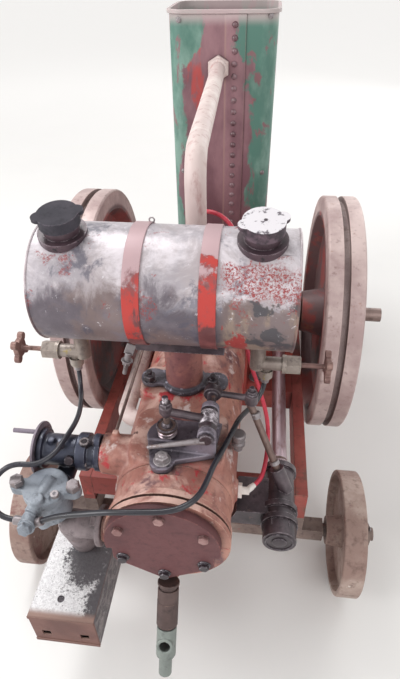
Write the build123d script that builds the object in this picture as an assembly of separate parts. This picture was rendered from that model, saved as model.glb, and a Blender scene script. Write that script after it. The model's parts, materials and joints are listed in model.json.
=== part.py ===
from build123d import *
import math
import os

# Small horizontal water-cooled engine on a four-wheeled iron trolley, in millimetres.
# The sizes below are set about the crankshaft: X across, Y away from the cylinder head, Z up.
# At the end everything is placed with the ground at Z = 0.

# Where the crankshaft stands over the ground and along the trolley
crank_height = 352.0
crank_y = 40.0

# Clearances
running = 0.05
seat = 0.2

# Crankshaft and flywheels
shaft_r = 20.0
stub_r = 15.0
shaft_reach = 378.0
flywheel_r = 250.0
flywheel_width = 68.0
flywheel_inner_right = 228.0
flywheel_inner_left = 212.0
rim_depth = 46.0
web_thickness = 18.0
groove_width = 12.0
groove_depth = 12.0
hub_r = 44.0
hub_inner_reach = 24.0
hub_outer_reach = 16.0

# Crankcase
case_half_width = 95.0
case_back = 150.0
case_front = -170.0
case_corner = 40.0
lid_r = 62.0
lid_height = 14.0
case_top = 96.0
case_bottom = -110.0
base_flange_width = 260.0
base_flange_thickness = 18.0
boss_r = 46.0
boss_end_right = 128.0
boss_end_left = 160.0
gear_case_end = 190.0
gear_case_r = 58.0

# Magneto on the crankcase, with the terminal of the ignition lead
magneto_x0 = -52.0
magneto_x1 = 44.0
magneto_front = -110.0
magneto_back = -40.0
magneto_height = 52.0
magneto_corner = 22.0
terminal_x = -30.0
terminal_y = -75.0
terminal_r = 10.0
terminal_height = 66.0

# Cylinder barrel, head and cover
barrel_r = 90.0
barrel_front = -520.0
head_r = barrel_r - 3.0
head_length = 64.0
head_front = barrel_front - head_length
head_ring_r = barrel_r
head_ring_width = 9.0
head_groove_width = 4.0
head_groove_r = barrel_r - 5.0
pad_flat = 18.0
cover_thickness = 14.0
cover_bolt_r = barrel_r - 23.0
cover_margin = 14.0
cover_x = -4.0
cover_z = 5.0
pad_top = barrel_r - 6.0
chest_left = 54.0
chest_right = 26.0
chest_back = 62.0
housing_room = 6.0

# Tank post on the barrel
post_x = -5.0
post_y = -348.0
post_r = 30.0
post_flange_r = 36.0
post_stud_x = 52.0
post_ear_r = 20.0
post_flange_thickness = 9.0

# Fuel tank
tank_x_left = -197.0
tank_x_right = 158.0
tank_y = -352.0
tank_z = 273.0
tank_r = 85.0
tank_wall = 2.0
strap_width = 23.0
strap_thickness = 2.5
strap_left_x = -68.0
strap_right_x = 31.0
cradle_depth = 60.0
cradle_height = 12.0

# Fillers
filler_left_x = -156.0
filler_right_x = 108.0
filler_lean = 12.0
neck_r = 24.0
neck_wall = 4.0
neck_height = 26.0
saddle_r = 33.0
saddle_height = 5.0
cap_r = 27.5
cap_height = 16.0
cap_skirt = 9.0
cap_ear_x = 24.0
cap_ear_r = 10.0
cap_ear_thickness = 5.0
cap_turn = 22.0

# Needle valves under the fuel tank
valve_z = 139.0
valve_left_x = -168.0
valve_right_x = 112.0
valve_body_r = 11.0
valve_spindle_r = 4.0
valve_reach = 112.0
union_offset = 14.0
handwheel_r = 26.0
handwheel_lobe_r = 7.0
handwheel_thickness = 9.0

# Carburettor and its air shutter
carb_y = barrel_front + 43.0
carb_z = 45.0
carb_flange_x = -barrel_r - 32.0
carb_flange_thickness = 9.0
carb_r = 24.0
carb_mouth_x = carb_flange_x - 87.0
inlet_r = 31.0
shutter_r = 41.0
shutter_thickness = 3.0
shutter_pin_r = 3.5
shutter_pin_length = 38.0

# Float chamber: round bowl, lid with two ears, ridge down its front and a banjo fitting
bowl_x = -182.0
bowl_y = carb_y - 66.0
bowl_r = 33.0
bowl_bottom = -12.0
lid_bottom = 30.0
lid_top = 43.0
lid_ear_x = 42.0
lid_ear_r = 11.0
ridge_r = 10.0
banjo_x = -193.0
banjo_z = 24.0
banjo_r = 11.0
banjo_reach = 9.0
sleeve_r = 6.0

# Exhaust
exhaust_y = head_front + 39.0
exhaust_z = -42.0
exhaust_r = 21.0
exhaust_boss_r = 23.0
exhaust_flange_x = -head_r - 17.0
exhaust_flange_r = 31.0
exhaust_flange_thickness = 9.0
exhaust_drop_x = exhaust_flange_x - 52.0
exhaust_foot_y = exhaust_y + 26.0
silencer_x0 = -210.0
silencer_x1 = -107.0
silencer_y0 = -648.0
silencer_y1 = -480.0
silencer_top = -137.0
silencer_height = 79.0
silencer_wall = 3.0
silencer_hole = 14.0
silencer_hole_inset = 14.0
silencer_hole_rise = 20.0

# Valve gear on top of the head
gear_x = -12.0
gear_y = barrel_front + 47.0
plate_thickness = 10.0
plate_lobe_r = 18.0
plate_lobe_y = -46.0
plate_round_r = 30.0
rib_thickness = 5.0
rib_height = 17.0
guide_r = 9.5
guide_height = 12.0
rocker_x = 48.0
rocker_z = pad_top + 44.0
rocker_shaft_r = 7.0
rocker_boss_r = 13.0
lever_width = 12.0
lever_left_y = gear_y
lever_span = 58.0
lever_right_y = gear_y + lever_span
lever_right_x = rocker_x + lever_span
lever_arm_r = 5.0
adjuster_r = 4.0
adjuster_top = pad_top + 86.0
stem_r = 4.5
stem_top = pad_top + 47.0
retainer_r = 15.0
retainer_bottom = pad_top + 25.0
retainer_thickness = 5.0
tip_r = 8.0
spring_r = 13.0
spring_wire = 3.0

# Push-rod, from its guide to the lever
rod_r = 5.5
rod_ball_r = 6.5
rod_top_z = pad_top + 29.0
rod_guide_x = 160.0
rod_guide_y = gear_y + 13.0
rod_guide_z = -6.0

# Spark plug
plug_y = barrel_front + 30.0
plug_seat_x = barrel_r + 4.0
plug_flats = 20.0
plug_nut_length = 6.0
ceramic_r = 6.0
ceramic_length = 17.0
boot_r = 5.0

# Side shaft and its housings
side_x = 159.0
side_z = -40.0
side_r = 13.0
side_back = -96.0
side_front = barrel_front - 3.0
housing_r = 24.0
housing_back = barrel_front + 105.0
housing_front = barrel_front
housing_ring_r = 28.0
housing_ring_width = 9.0
web_half = 16.0
guide_wall = 6.0
end_cap_r = 25.0
end_cap_length = 25.0

# Trolley
rail_gap = 13.0
rail_width = 22.0
rail_top = -110.0
rail_height = 68.0
rail_wall = 6.0
rail_front = -410.0
rail_back = 597.5
axle_y = 390.0
axle_z = -238.0
axle_side = 30.0
axle_square_end = 256.0
axle_pin_r = 12.0
axle_end = 350.0
wheel_r = 114.0
wheel_inner = 279.0
wheel_outer = 318.0
wheel_rim = 9.0
wheel_hub_r = 26.0
wheel_hub_inner = 262.0
wheel_hub_outer = 326.0
wheel_web = 10.0
nut_thickness = 13.0
saddle_half = 24.0

# Cooling tank
cooler_x0 = -130.0
cooler_x1 = 118.0
cooler_y0 = 352.0
cooler_y1 = 560.0
cooler_top = 540.0
cooler_wall = 3.0
cooler_corner = 36.0
cooler_rim = 8.0
rim_bead = 9.0

# Cross-members of the trolley, in Y, and their heights
front_member_depth = 40.0
front_member_height = 50.0
case_members_y = (-120.0, 110.0)
case_member_depth = 60.0
cooler_member_inset = 30.0
cooler_member_depth = 40.0
cooler_member_height = 40.0

# Thin governor rod from the crankcase to the carburettor's side of the barrel
governor_r = 2.5
governor_x = -92.0
governor_z = 82.0
governor_front = -468.0
governor_rise = 10.0

# Water pipes
pipe_r = 16.85
riser_x = 2.0
riser_y = -215.0
riser_top = 412.0
outlet_x = -14.0
outlet_z = 425.0
return_x = -135.0
return_z = -66.0
return_y = -300.0
return_boss_x = -100.0
riser_boss_top = barrel_r + 14.0
pipe_bend = 48.0

# Drain under the cover
drain_slope = 60.0
drain_y = -596.0
drain_z = -92.0
drain_length = 150.0
drain_pipe_r = 13.0
drain_cock_r = 15.0
drain_bore_r = 8.0
drain_pipe_length = 70.0
coupling_start = 28.0
coupling_end = 66.0
coupling_wall = 3.0
cock_body_end = 118.0
cock_plug_at = 94.0
cock_plug_half = 17.0
cock_plug_r = 13.0
spout_start = 110.0
spout_r = 10.0

# Fuel hoses and ignition lead
hose_r = 4.0
lead_r = 3.5


def bar_x(x0, x1, y, z, radius):
    return Pos((x0 + x1) / 2, y, z) * Rot(0, 90, 0) * Cylinder(radius, abs(x1 - x0))


def bar_y(y0, y1, x, z, radius):
    return Pos(x, (y0 + y1) / 2, z) * Rot(90, 0, 0) * Cylinder(radius, abs(y1 - y0))


def bar_z(z0, z1, x, y, radius):
    return Pos(x, y, (z0 + z1) / 2) * Cylinder(radius, abs(z1 - z0))


def block(x0, x1, y0, y1, z0, z1):
    return Pos((x0 + x1) / 2, (y0 + y1) / 2, (z0 + z1) / 2) * Box(x1 - x0, y1 - y0, z1 - z0)


def bar_between(a, b, radius):
    a = Vector(*a)
    b = Vector(*b)
    middle = (a + b) * 0.5
    plane = Plane(origin=middle, z_dir=(b - a).normalized())
    return plane * Cylinder(radius, (b - a).length)


def hex_x(x0, x1, y, z, flats):
    outline = RegularPolygon(flats / 2, 6, major_radius=False)
    return Pos(min(x0, x1), y, z) * Rot(0, 90, 0) * extrude(outline, abs(x1 - x0))


def turned_x(points, y, z):
    outline = make_face(Polyline(*points, close=True))
    return Pos(0, y, z) * revolve(Plane.XY * outline, Axis.X)


def route_tube(points, radius, label):
    radii = []
    for i in range(1, len(points) - 1):
        before = Vector(*points[i]) - Vector(*points[i - 1])
        after = Vector(*points[i + 1]) - Vector(*points[i])
        turn = math.radians(before.get_angle(after))
        radii.append(0.45 * min(before.length, after.length) / math.tan(turn / 2))
    path = FilletPolyline(*points, radius=radii)
    start = Plane(origin=path @ 0, z_dir=path % 0)
    tube = sweep(start * Circle(radius), path=path)
    ideal = math.pi * radius * radius * path.length
    print(label, "length", round(path.length), "radii", [round(r) for r in radii],
          "volume ratio", round(tube.volume / ideal, 4))
    return tube


def bent_pipe(points, radius, bend, label):
    path = FilletPolyline(*points, radius=bend)
    start = Plane(origin=path @ 0, z_dir=path % 0)
    tube = sweep(start * Circle(radius), path=path)
    print(label, "length", round(path.length), "volume ratio",
          round(tube.volume / (math.pi * radius * radius * path.length), 4))
    return tube


def along_drain(s):
    slope = math.radians(drain_slope)
    return (0, drain_y - s * math.cos(slope), drain_z - s * math.sin(slope))


nodes = {}

# Routes of the fuel hoses and the ignition lead, set by hand
left_route = [(-182, -352, 108.8), (-181, -355, 92), (-179, -365, 77), (-174, -380, 69), (-168, -402, 69),
              (-163, -428, 72), (-162, -452, 75), (-166, -484, 78), (-173, -512, 76), (-195, -530, 71),
              (-228, -531, 72), (-249, -542, 61), (-257, -560, 47), (-249, -578, 33), (-230, -590, 25), (-206, -590, 24)]
right_route = [(-180, -590, 24), (-166, -590, 33), (-150, -591, 44), (-128, -594, 56), (-100, -598, 70),
               (-66, -601, 83), (-26, -602, 91), (8, -602, 97), (31, -595, 101), (47, -578, 102), (54, -551, 98),
               (60, -520, 94), (71, -488, 91), (81, -454, 90), (88, -428, 87), (96, -404, 78), (107, -384, 73),
               (117, -369, 78), (124, -357, 91), (126, -352, 108.8)]
lead_route = [(118, -478, 0), (127, -468, 0), (133, -446, 1), (137, -412, 8), (136, -372, 30), (122, -330, 52),
              (100, -290, 84), (86, -258, 130), (84, -240, 190), (80, -232, 255), (64, -220, 300), (38, -200, 316),
              (6, -178, 310), (-16, -152, 284), (-28, -120, 246), (-31, -88, 212), (-30, -75, 162.3)]


# Crankcase: a rounded box on a base flange, with a boss each side for the crankshaft
def make_crankcase():
    body = block(-case_half_width, case_half_width, case_front, case_back, case_bottom, case_top)
    body = fillet(body.edges().filter_by(Axis.Y).group_by(Axis.Z)[-1], case_corner)
    half = base_flange_width / 2
    flange = block(-half, half, case_front + 20, case_back + 20, case_bottom,
                   case_bottom + base_flange_thickness)
    flange = fillet(flange.edges().filter_by(Axis.Z), 14)
    left = bar_x(-boss_end_left, 0, 0, 0, boss_r)
    right = bar_x(0, boss_end_right, 0, 0, boss_r)
    lid = bar_z(case_top - 1, case_top + lid_height, 0, case_back / 2, lid_r)
    lug_top = governor_z + governor_rise + 7
    lug = block(governor_x - 7, governor_x + 12, case_front - 4, case_front + 24, governor_z - 20, lug_top)
    body = body + flange + left + right + lid + lug
    return body - bar_x(-boss_end_left - 1, boss_end_right + 1, 0, 0, shaft_r + running)


nodes["crankcase"] = make_crankcase()


# Gear case on the right, round the crankshaft, from which the side shaft runs forward
def make_gear_case():
    body = bar_x(boss_end_right, gear_case_end, 0, 0, gear_case_r)
    snout = block(boss_end_right, gear_case_end, side_back, 0, side_z - housing_r, side_z + housing_r)
    snout = fillet(snout.edges().filter_by(Axis.Y), 10)
    body = body + snout
    body = body - bar_x(boss_end_right - 1, gear_case_end + 1, 0, 0, shaft_r + running)
    return body


nodes["gear_case"] = make_gear_case()


# Cylinder barrel with its top pad for the tank post and the riser boss
def make_barrel():
    body = bar_y(barrel_front, case_front, 0, 0, barrel_r)
    pad = block(post_x - post_stud_x - post_ear_r, post_x + post_stud_x + post_ear_r,
                post_y - post_flange_r, post_y + post_flange_r, 20, pad_top)
    pad = fillet(pad.edges().filter_by(Axis.Z), 18)
    chest = block(gear_x - chest_left, rocker_x + chest_right, barrel_front + 4, gear_y + chest_back, 0, pad_top)
    chest = fillet(chest.edges().filter_by(Axis.Z), 22)
    inlet = bar_x(carb_flange_x + carb_flange_thickness, 0, carb_y, carb_z, inlet_r)
    lug = bar_z(carb_z, governor_z + 5, governor_x, governor_front, 6)
    riser_boss = bar_z(20, riser_boss_top, riser_x, riser_y, 30)
    return_boss = bar_x(return_boss_x, -30, return_y, return_z, 23)
    plug_boss = bar_x(barrel_r / 2, plug_seat_x, plug_y, 0, 16)
    body = body - block(-barrel_r, barrel_r, barrel_front - 1, case_front + 1, pad_top, barrel_r + 1)
    body = body + pad + chest + inlet + lug + riser_boss + return_boss + plug_boss
    return body - bar_z(pad_top - 34, pad_top + 1, gear_x, gear_y, stem_r + running)


nodes["cylinder_barrel"] = make_barrel()


# Cylinder head: turned casting with two rings round the cover, an exhaust boss and a drain boss
def make_head():
    neck = bar_y(head_front + 2 * head_ring_width + head_groove_width, barrel_front, 0, 0, head_r)
    front_ring = bar_y(head_front, head_front + head_ring_width, 0, 0, head_ring_r)
    back_ring = bar_y(head_front + head_ring_width + head_groove_width,
                      head_front + 2 * head_ring_width + head_groove_width, 0, 0, head_ring_r)
    groove = bar_y(head_front, head_front + 2 * head_ring_width + head_groove_width, 0, 0, head_groove_r)
    body = neck + front_ring + back_ring + groove
    exhaust = bar_x(exhaust_flange_x, -head_r / 3, exhaust_y, exhaust_z, exhaust_boss_r)
    drain = bar_between(along_drain(-44), along_drain(0), drain_pipe_r + 5)
    trim = block(-60, 60, head_front - 60, head_front, -head_r - 60, 0)
    body = body - block(-head_r, head_r, barrel_front - pad_flat, barrel_front + 1, pad_top, head_r + 1)
    return body + exhaust + drain - trim


nodes["cylinder_head"] = make_head()


# Head cover: a six-cornered plate with round corners, its upper half filled out to a full round
def make_cover():
    corner_r = cover_bolt_r + cover_margin / math.cos(math.radians(30))
    outline = RegularPolygon(corner_r, 6, rotation=30)
    plate = extrude(outline, cover_thickness)
    plate = fillet(plate.edges().filter_by(Axis.Z), cover_margin)
    upper = Cylinder(cover_bolt_r + cover_margin, cover_thickness, align=(Align.CENTER, Align.CENTER, Align.MIN))
    upper = upper & block(-2 * corner_r, 2 * corner_r, -cover_margin, 2 * corner_r, 0, cover_thickness)
    plate = Rot(90, 0, 0) * (plate + upper)
    return Pos(cover_x, head_front, cover_z) * plate


nodes["head_cover"] = make_cover()


# Tank post: eared flange and round pillar, with a top plate for the cradle
def make_post():
    flange = Cylinder(post_flange_r, post_flange_thickness)
    for side in (-1, 1):
        ear = Pos(side * post_stud_x, 0, 0) * Cylinder(post_ear_r, post_flange_thickness)
        web = Pos(side * post_stud_x / 2, 0, 0) * Box(post_stud_x, 1.7 * post_ear_r, post_flange_thickness)
        flange = flange + ear + web
    flange = Pos(post_x, post_y, pad_top + post_flange_thickness / 2) * flange
    top = tank_z - tank_r - strap_thickness - cradle_height
    pillar = bar_z(pad_top, top, post_x, post_y, post_r)
    return flange + pillar


nodes["tank_post"] = make_post()


# Cradle under the tank: a bar hollowed to the tank's curve and stepped for the straps
def make_cradle():
    bottom = tank_z - tank_r - strap_thickness - cradle_height
    bar = block(strap_left_x - 4, strap_right_x + strap_width + 8, tank_y - cradle_depth / 2,
                tank_y + cradle_depth / 2, bottom, bottom + cradle_height + 8)
    bar = bar - bar_x(tank_x_left, tank_x_right, tank_y, tank_z, tank_r + strap_thickness + seat)
    return bar


nodes["tank_cradle"] = make_cradle()


# Fuel tank shell with its two ends
def filler_axis(x):
    lean = math.radians(filler_lean)
    out = Vector(0, -math.sin(lean), math.cos(lean))
    foot = Vector(x, tank_y, tank_z) + out * tank_r
    return foot, out


def on_filler(x, shape, rise):
    foot, out = filler_axis(x)
    plane = Plane(origin=foot + out * rise, x_dir=(1, 0, 0), z_dir=out)
    return plane * shape


def make_tank_shell():
    shell = bar_x(tank_x_left, tank_x_right, tank_y, tank_z, tank_r)
    shell = shell - bar_x(tank_x_left - 1, tank_x_right + 1, tank_y, tank_z, tank_r - tank_wall)
    for x in (filler_left_x, filler_right_x):
        shell = shell - on_filler(x, Cylinder(neck_r - neck_wall, 40), 0)
    return shell


nodes["fuel_tank_shell"] = make_tank_shell()
end_r = tank_r - tank_wall - seat
nodes["fuel_tank_ends"] = bar_x(tank_x_left + 3, tank_x_left + 6, tank_y, tank_z, end_r) + \
    bar_x(tank_x_right - 6, tank_x_right - 3, tank_y, tank_z, end_r)


# Strap bands round the tank
def make_strap(x):
    outer = bar_x(x, x + strap_width, tank_y, tank_z, tank_r + strap_thickness)
    band = outer - bar_x(x - 1, x + strap_width + 1, tank_y, tank_z, tank_r + seat)
    return band


nodes["tank_straps"] = make_strap(strap_left_x) + make_strap(strap_right_x)


# Filler necks on saddle rings, with lift-off caps
def make_neck(x):
    ring = on_filler(x, Cylinder(saddle_r, saddle_height + 14), (saddle_height - 14) / 2)
    tube = on_filler(x, Cylinder(neck_r, neck_height + 10), (neck_height - 10) / 2)
    body = ring + tube
    body = body - bar_x(tank_x_left - 40, tank_x_right + 40, tank_y, tank_z, tank_r + seat)
    return body - on_filler(x, Cylinder(neck_r - neck_wall, 120), 20)


def make_cap(x):
    crown = on_filler(x, Cylinder(cap_r, cap_height - cap_skirt), neck_height + seat + (cap_height - cap_skirt) / 2)
    skirt = Cylinder(cap_r, cap_skirt) - Cylinder(neck_r + 0.5, cap_skirt + 1)
    skirt = on_filler(x, skirt, neck_height + seat - cap_skirt / 2)
    ears = Box(2 * cap_ear_x, 2 * cap_ear_r, cap_ear_thickness)
    for side in (-1, 1):
        ears = ears + Pos(side * cap_ear_x, 0, 0) * Cylinder(cap_ear_r, cap_ear_thickness)
    ears = Rot(0, 0, cap_turn) * ears
    ears = on_filler(x, ears, neck_height + seat + cap_height - cap_skirt - cap_ear_thickness / 2)
    return crown + skirt + ears


nodes["filler_necks"] = make_neck(filler_left_x) + make_neck(filler_right_x)
nodes["filler_cap_left"] = make_cap(filler_left_x)
nodes["filler_cap_right"] = make_cap(filler_right_x)


# Needle valve: spigot from the tank, cross body pointing outwards, packing nut, union below
def make_needle_valve(x, side):
    tank_bottom = tank_z - tank_r
    spigot = bar_z(valve_z - 8, tank_bottom - 0.3, x, tank_y, 12)
    flange = bar_z(tank_bottom - 6, tank_bottom - 0.3, x, tank_y, 17)
    body = bar_x(x, x + side * 66, tank_y, valve_z, valve_body_r)
    nut = hex_x(x + side * 44, x + side * 66, tank_y, valve_z, 26)
    union = bar_z(valve_z - 30, valve_z, x + side * union_offset, tank_y, 8)
    collar = bar_x(x + side * 38, x + side * 44, tank_y, valve_z, valve_body_r + 4)
    union_nut = bar_z(valve_z - 26, valve_z - 12, x + side * union_offset, tank_y, 11)
    shape = spigot + flange + body + collar + nut + union + union_nut
    return shape - bar_x(x + side * 30, x + side * 80, tank_y, valve_z, valve_spindle_r + running)


def make_handwheel(x, side):
    tip = x + side * valve_reach
    spindle = bar_x(x + side * 32, tip, tank_y, valve_z, valve_spindle_r)
    centre = tip - side * handwheel_thickness / 2
    wheel = bar_x(centre - handwheel_thickness / 2, centre + handwheel_thickness / 2, tank_y, valve_z, 15)
    for i in range(4):
        angle = math.radians(45 + 90 * i)
        wheel = wheel + bar_x(centre - handwheel_thickness / 2, centre + handwheel_thickness / 2,
                              tank_y + (handwheel_r - handwheel_lobe_r) * math.cos(angle),
                              valve_z + (handwheel_r - handwheel_lobe_r) * math.sin(angle), handwheel_lobe_r)
    return spindle + wheel


nodes["fuel_valves"] = make_needle_valve(valve_left_x, -1) + make_needle_valve(valve_right_x, 1)
nodes["valve_handwheel_left"] = make_handwheel(valve_left_x, -1)
nodes["valve_handwheel_right"] = make_handwheel(valve_right_x, 1)


# Carburettor on the left of the head, with a round air shutter on its mouth
def make_carburettor():
    flange = bar_x(carb_flange_x, carb_flange_x + carb_flange_thickness - seat, carb_y, carb_z, 28)
    for z in (-1, 1):
        ear = bar_x(carb_flange_x, carb_flange_x + carb_flange_thickness - seat, carb_y, carb_z + z * 27, 11)
        flange = flange + ear
    body = bar_x(carb_mouth_x, carb_flange_x + 1, carb_y, carb_z, carb_r)
    collar = bar_x(carb_flange_x - 28, carb_flange_x - 12, carb_y, carb_z, carb_r + 5)
    mouth = bar_x(carb_mouth_x, carb_mouth_x + 8, carb_y, carb_z, carb_r + 7)
    pivot = bar_x(carb_mouth_x - shutter_thickness - 7, carb_mouth_x, carb_y, carb_z, 5)
    needle = bar_z(carb_z, carb_z + carb_r + 7, carb_flange_x - 66, carb_y - 6, 6)
    neck = bar_y(bowl_y + bowl_r + seat, carb_y, bowl_x + 10, (lid_bottom + bowl_bottom) / 2 + 4, 15)
    rise = bar_z((lid_bottom + bowl_bottom) / 2 + 4, carb_z, bowl_x + 10, carb_y, 15)
    body = body + flange + collar + mouth + pivot + needle + neck + rise
    return body - bar_z(bowl_bottom - 10, lid_top + 10, bowl_x, bowl_y, bowl_r + seat)


def make_shutter():
    x1 = carb_mouth_x - 0.3
    x0 = x1 - shutter_thickness
    disc = bar_x(x0, x1, carb_y, carb_z, shutter_r)
    disc = disc - bar_x(x0 - 1, x1 + 1, carb_y, carb_z, 5 + running)
    pin = bar_x(x0 - shutter_pin_length, x1, carb_y + 4, carb_z + shutter_r - 10, shutter_pin_r)
    return disc + pin


nodes["carburettor"] = make_carburettor()
nodes["air_shutter"] = make_shutter()


# Sleeve on a hose's end, in line with the hose's last leg
def hose_sleeve(end, before):
    end = Vector(*end)
    way = (end - Vector(*before)).normalized()
    return bar_between(tuple(end), tuple(end + way * banjo_r), sleeve_r)


# Float chamber under and in front of the carburettor
def make_float_chamber():
    bowl = bar_z(bowl_bottom, lid_bottom, bowl_x, bowl_y, bowl_r - 2)
    bowl = bowl + bar_z(bowl_bottom - 5, bowl_bottom, bowl_x, bowl_y, bowl_r - 12)
    lid = bar_z(lid_bottom, lid_top, bowl_x, bowl_y, bowl_r)
    ears = block(bowl_x - lid_ear_x, bowl_x + lid_ear_x, bowl_y - lid_ear_r, bowl_y + lid_ear_r, lid_bottom, lid_top)
    for side in (-1, 1):
        ears = ears + bar_z(lid_bottom, lid_top, bowl_x + side * lid_ear_x, bowl_y, lid_ear_r)
    ridge = bar_z(bowl_bottom, lid_top + 9, bowl_x - 2, bowl_y - bowl_r + 6, ridge_r)
    elbow_y = left_route[-1][1]
    arm = bar_y(elbow_y, bowl_y, banjo_x, banjo_z - 6, ridge_r - 2)
    banjo = bar_y(elbow_y - banjo_reach, elbow_y + banjo_reach, banjo_x, banjo_z, banjo_r)
    sleeves = hose_sleeve(left_route[-1], left_route[-2]) + hose_sleeve(right_route[0], right_route[1])
    return bowl + lid + ears + ridge + arm + banjo + sleeves


nodes["float_chamber"] = make_float_chamber()


# Exhaust elbow, sloping back to the silencer box
def make_elbow():
    knee_at = (exhaust_drop_x, exhaust_y, exhaust_z)
    slope = (exhaust_foot_y - exhaust_y) / (exhaust_z - silencer_top)
    below = (exhaust_drop_x, exhaust_foot_y + 20 * slope, silencer_top - 20)
    run = bar_x(exhaust_drop_x, exhaust_flange_x - seat, exhaust_y, exhaust_z, exhaust_r)
    drop = bar_between(knee_at, below, exhaust_r)
    knee = Pos(*knee_at) * Sphere(exhaust_r)
    flange = bar_x(exhaust_flange_x - seat - exhaust_flange_thickness, exhaust_flange_x - seat, exhaust_y, exhaust_z,
                   exhaust_flange_r)
    under = block(silencer_x0, silencer_x1, silencer_y0, silencer_y1 + 60, silencer_top - silencer_height,
                  silencer_top + seat)
    return run + drop + knee + flange - under


nodes["exhaust_elbow"] = make_elbow()


def make_silencer():
    bottom = silencer_top - silencer_height
    box = block(silencer_x0, silencer_x1, silencer_y0, silencer_y1, bottom, silencer_top)
    inner = block(silencer_x0 + silencer_wall, silencer_x1 - silencer_wall, silencer_y0 + silencer_wall,
                  silencer_y1 - silencer_wall, bottom + silencer_wall, silencer_top - silencer_wall)
    box = box - inner
    low = bottom + silencer_hole_rise
    for x in (silencer_x0 + silencer_hole_inset, silencer_x1 - silencer_hole_inset - silencer_hole):
        box = box - block(x, x + silencer_hole, silencer_y0 - 5, silencer_y0 + 10, low, low + silencer_hole)
    return box


nodes["silencer"] = make_silencer()


# Valve gear: drop-shaped bracket plate, rib to the rocker's ears, and the stem's guide
def make_rocker_bracket():
    lobe = Pos(gear_x, gear_y + plate_lobe_y, 0) * Cylinder(plate_lobe_r, plate_thickness)
    middle = Pos(gear_x, gear_y, 0) * Cylinder(plate_round_r, plate_thickness)
    waist = Polyline((gear_x - plate_round_r, gear_y), (gear_x - plate_lobe_r, gear_y + plate_lobe_y),
                     (gear_x + plate_lobe_r, gear_y + plate_lobe_y), (rocker_x + 10, gear_y - 30),
                     (rocker_x + 17, gear_y + 30), (gear_x, gear_y + plate_round_r), close=True)
    waist = Pos(0, 0, -plate_thickness / 2) * extrude(make_face(waist), plate_thickness)
    plate = Pos(0, 0, pad_top + plate_thickness / 2) * (lobe + middle + waist)
    guide = bar_z(pad_top, pad_top + guide_height, gear_x, gear_y, guide_r)
    plate_z = pad_top + plate_thickness
    rib = Polyline((gear_x - plate_round_r + 6, gear_y - 26), (rocker_x - 6, gear_y - 31),
                   (rocker_x - 6, gear_y - 31 + rib_thickness), (gear_x - plate_round_r + 6, gear_y - 26 + rib_thickness),
                   close=True)
    rib = Pos(0, 0, plate_z - 1) * extrude(make_face(rib), rib_height + 1)
    bracket = plate + guide + rib
    for y in (gear_y - 26, gear_y + 24):
        ear = block(rocker_x - rocker_boss_r, rocker_x + rocker_boss_r, y - 5, y + 5, pad_top + 4, rocker_z)
        ear = ear + bar_y(y - 5, y + 5, rocker_x, rocker_z, rocker_boss_r)
        bracket = bracket + ear
    bracket = bracket - bar_y(gear_y - lever_span, gear_y + lever_span, rocker_x, rocker_z, rocker_shaft_r + running)
    return bracket - bar_z(pad_top - 1, stem_top, gear_x, gear_y, stem_r + running)


nodes["rocker_bracket"] = make_rocker_bracket()


# Rocker: two levers on one short shaft, the left one with its adjusting screw
def make_rocker():
    shaft = bar_y(gear_y - 36, lever_right_y + 8, rocker_x, rocker_z, rocker_shaft_r)
    half = lever_width / 2
    left = bar_y(gear_y - 20, gear_y + 18, rocker_x, rocker_z, rocker_boss_r - 1)
    arm = bar_between((rocker_x, lever_left_y, rocker_z + 4), (gear_x, lever_left_y, stem_top + 11), lever_arm_r + 1)
    tip = Pos(gear_x, lever_left_y, stem_top + seat + tip_r) * Sphere(tip_r)
    block_up = bar_z(stem_top + tip_r + 1, stem_top + 22, gear_x, lever_left_y, tip_r + 1.5)
    screw = bar_z(stem_top + 20, adjuster_top, gear_x, lever_left_y, adjuster_r)
    locknut = bar_z(stem_top + 22, stem_top + 28, gear_x, lever_left_y, 7)
    right = bar_y(lever_right_y - half, lever_right_y + half, rocker_x, rocker_z, rocker_boss_r)
    arm2 = bar_between((rocker_x, lever_right_y, rocker_z), (lever_right_x, lever_right_y, rod_top_z + 9), lever_arm_r)
    pad = bar_z(rod_top_z + seat, rod_top_z + 18, lever_right_x, lever_right_y, 10)
    return shaft + left + arm + tip + block_up + screw + locknut + right + arm2 + pad


nodes["rocker"] = make_rocker()

# Exhaust valve stem with its round retainer, and the spring under it
nodes["valve_stem"] = bar_z(pad_top - 20, stem_top, gear_x, gear_y, stem_r) + \
    bar_z(retainer_bottom, retainer_bottom + retainer_thickness, gear_x, gear_y, retainer_r)


def make_spring():
    bottom = pad_top + plate_thickness + seat
    top = retainer_bottom - seat
    tube = bar_z(bottom, top, gear_x, gear_y, spring_r + spring_wire / 2)
    return tube - bar_z(bottom - 1, top + 1, gear_x, gear_y, 11 + seat)


nodes["valve_spring"] = make_spring()


# Governor rod along the left of the barrel, between the two lugs
nodes["governor_rod"] = bar_between((governor_x, governor_front + 6 + seat, governor_z),
                                    (governor_x + 3, case_front - 4 - seat, governor_z + governor_rise), governor_r)

# Cam housing on the right, with the guide for the push-rod, its web to the head and its round cap
rod_bottom = Vector(rod_guide_x, rod_guide_y, rod_guide_z)
rod_top = Vector(lever_right_x, lever_right_y, rod_top_z - rod_ball_r)
rod_dir = (rod_top - rod_bottom).normalized()


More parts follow.
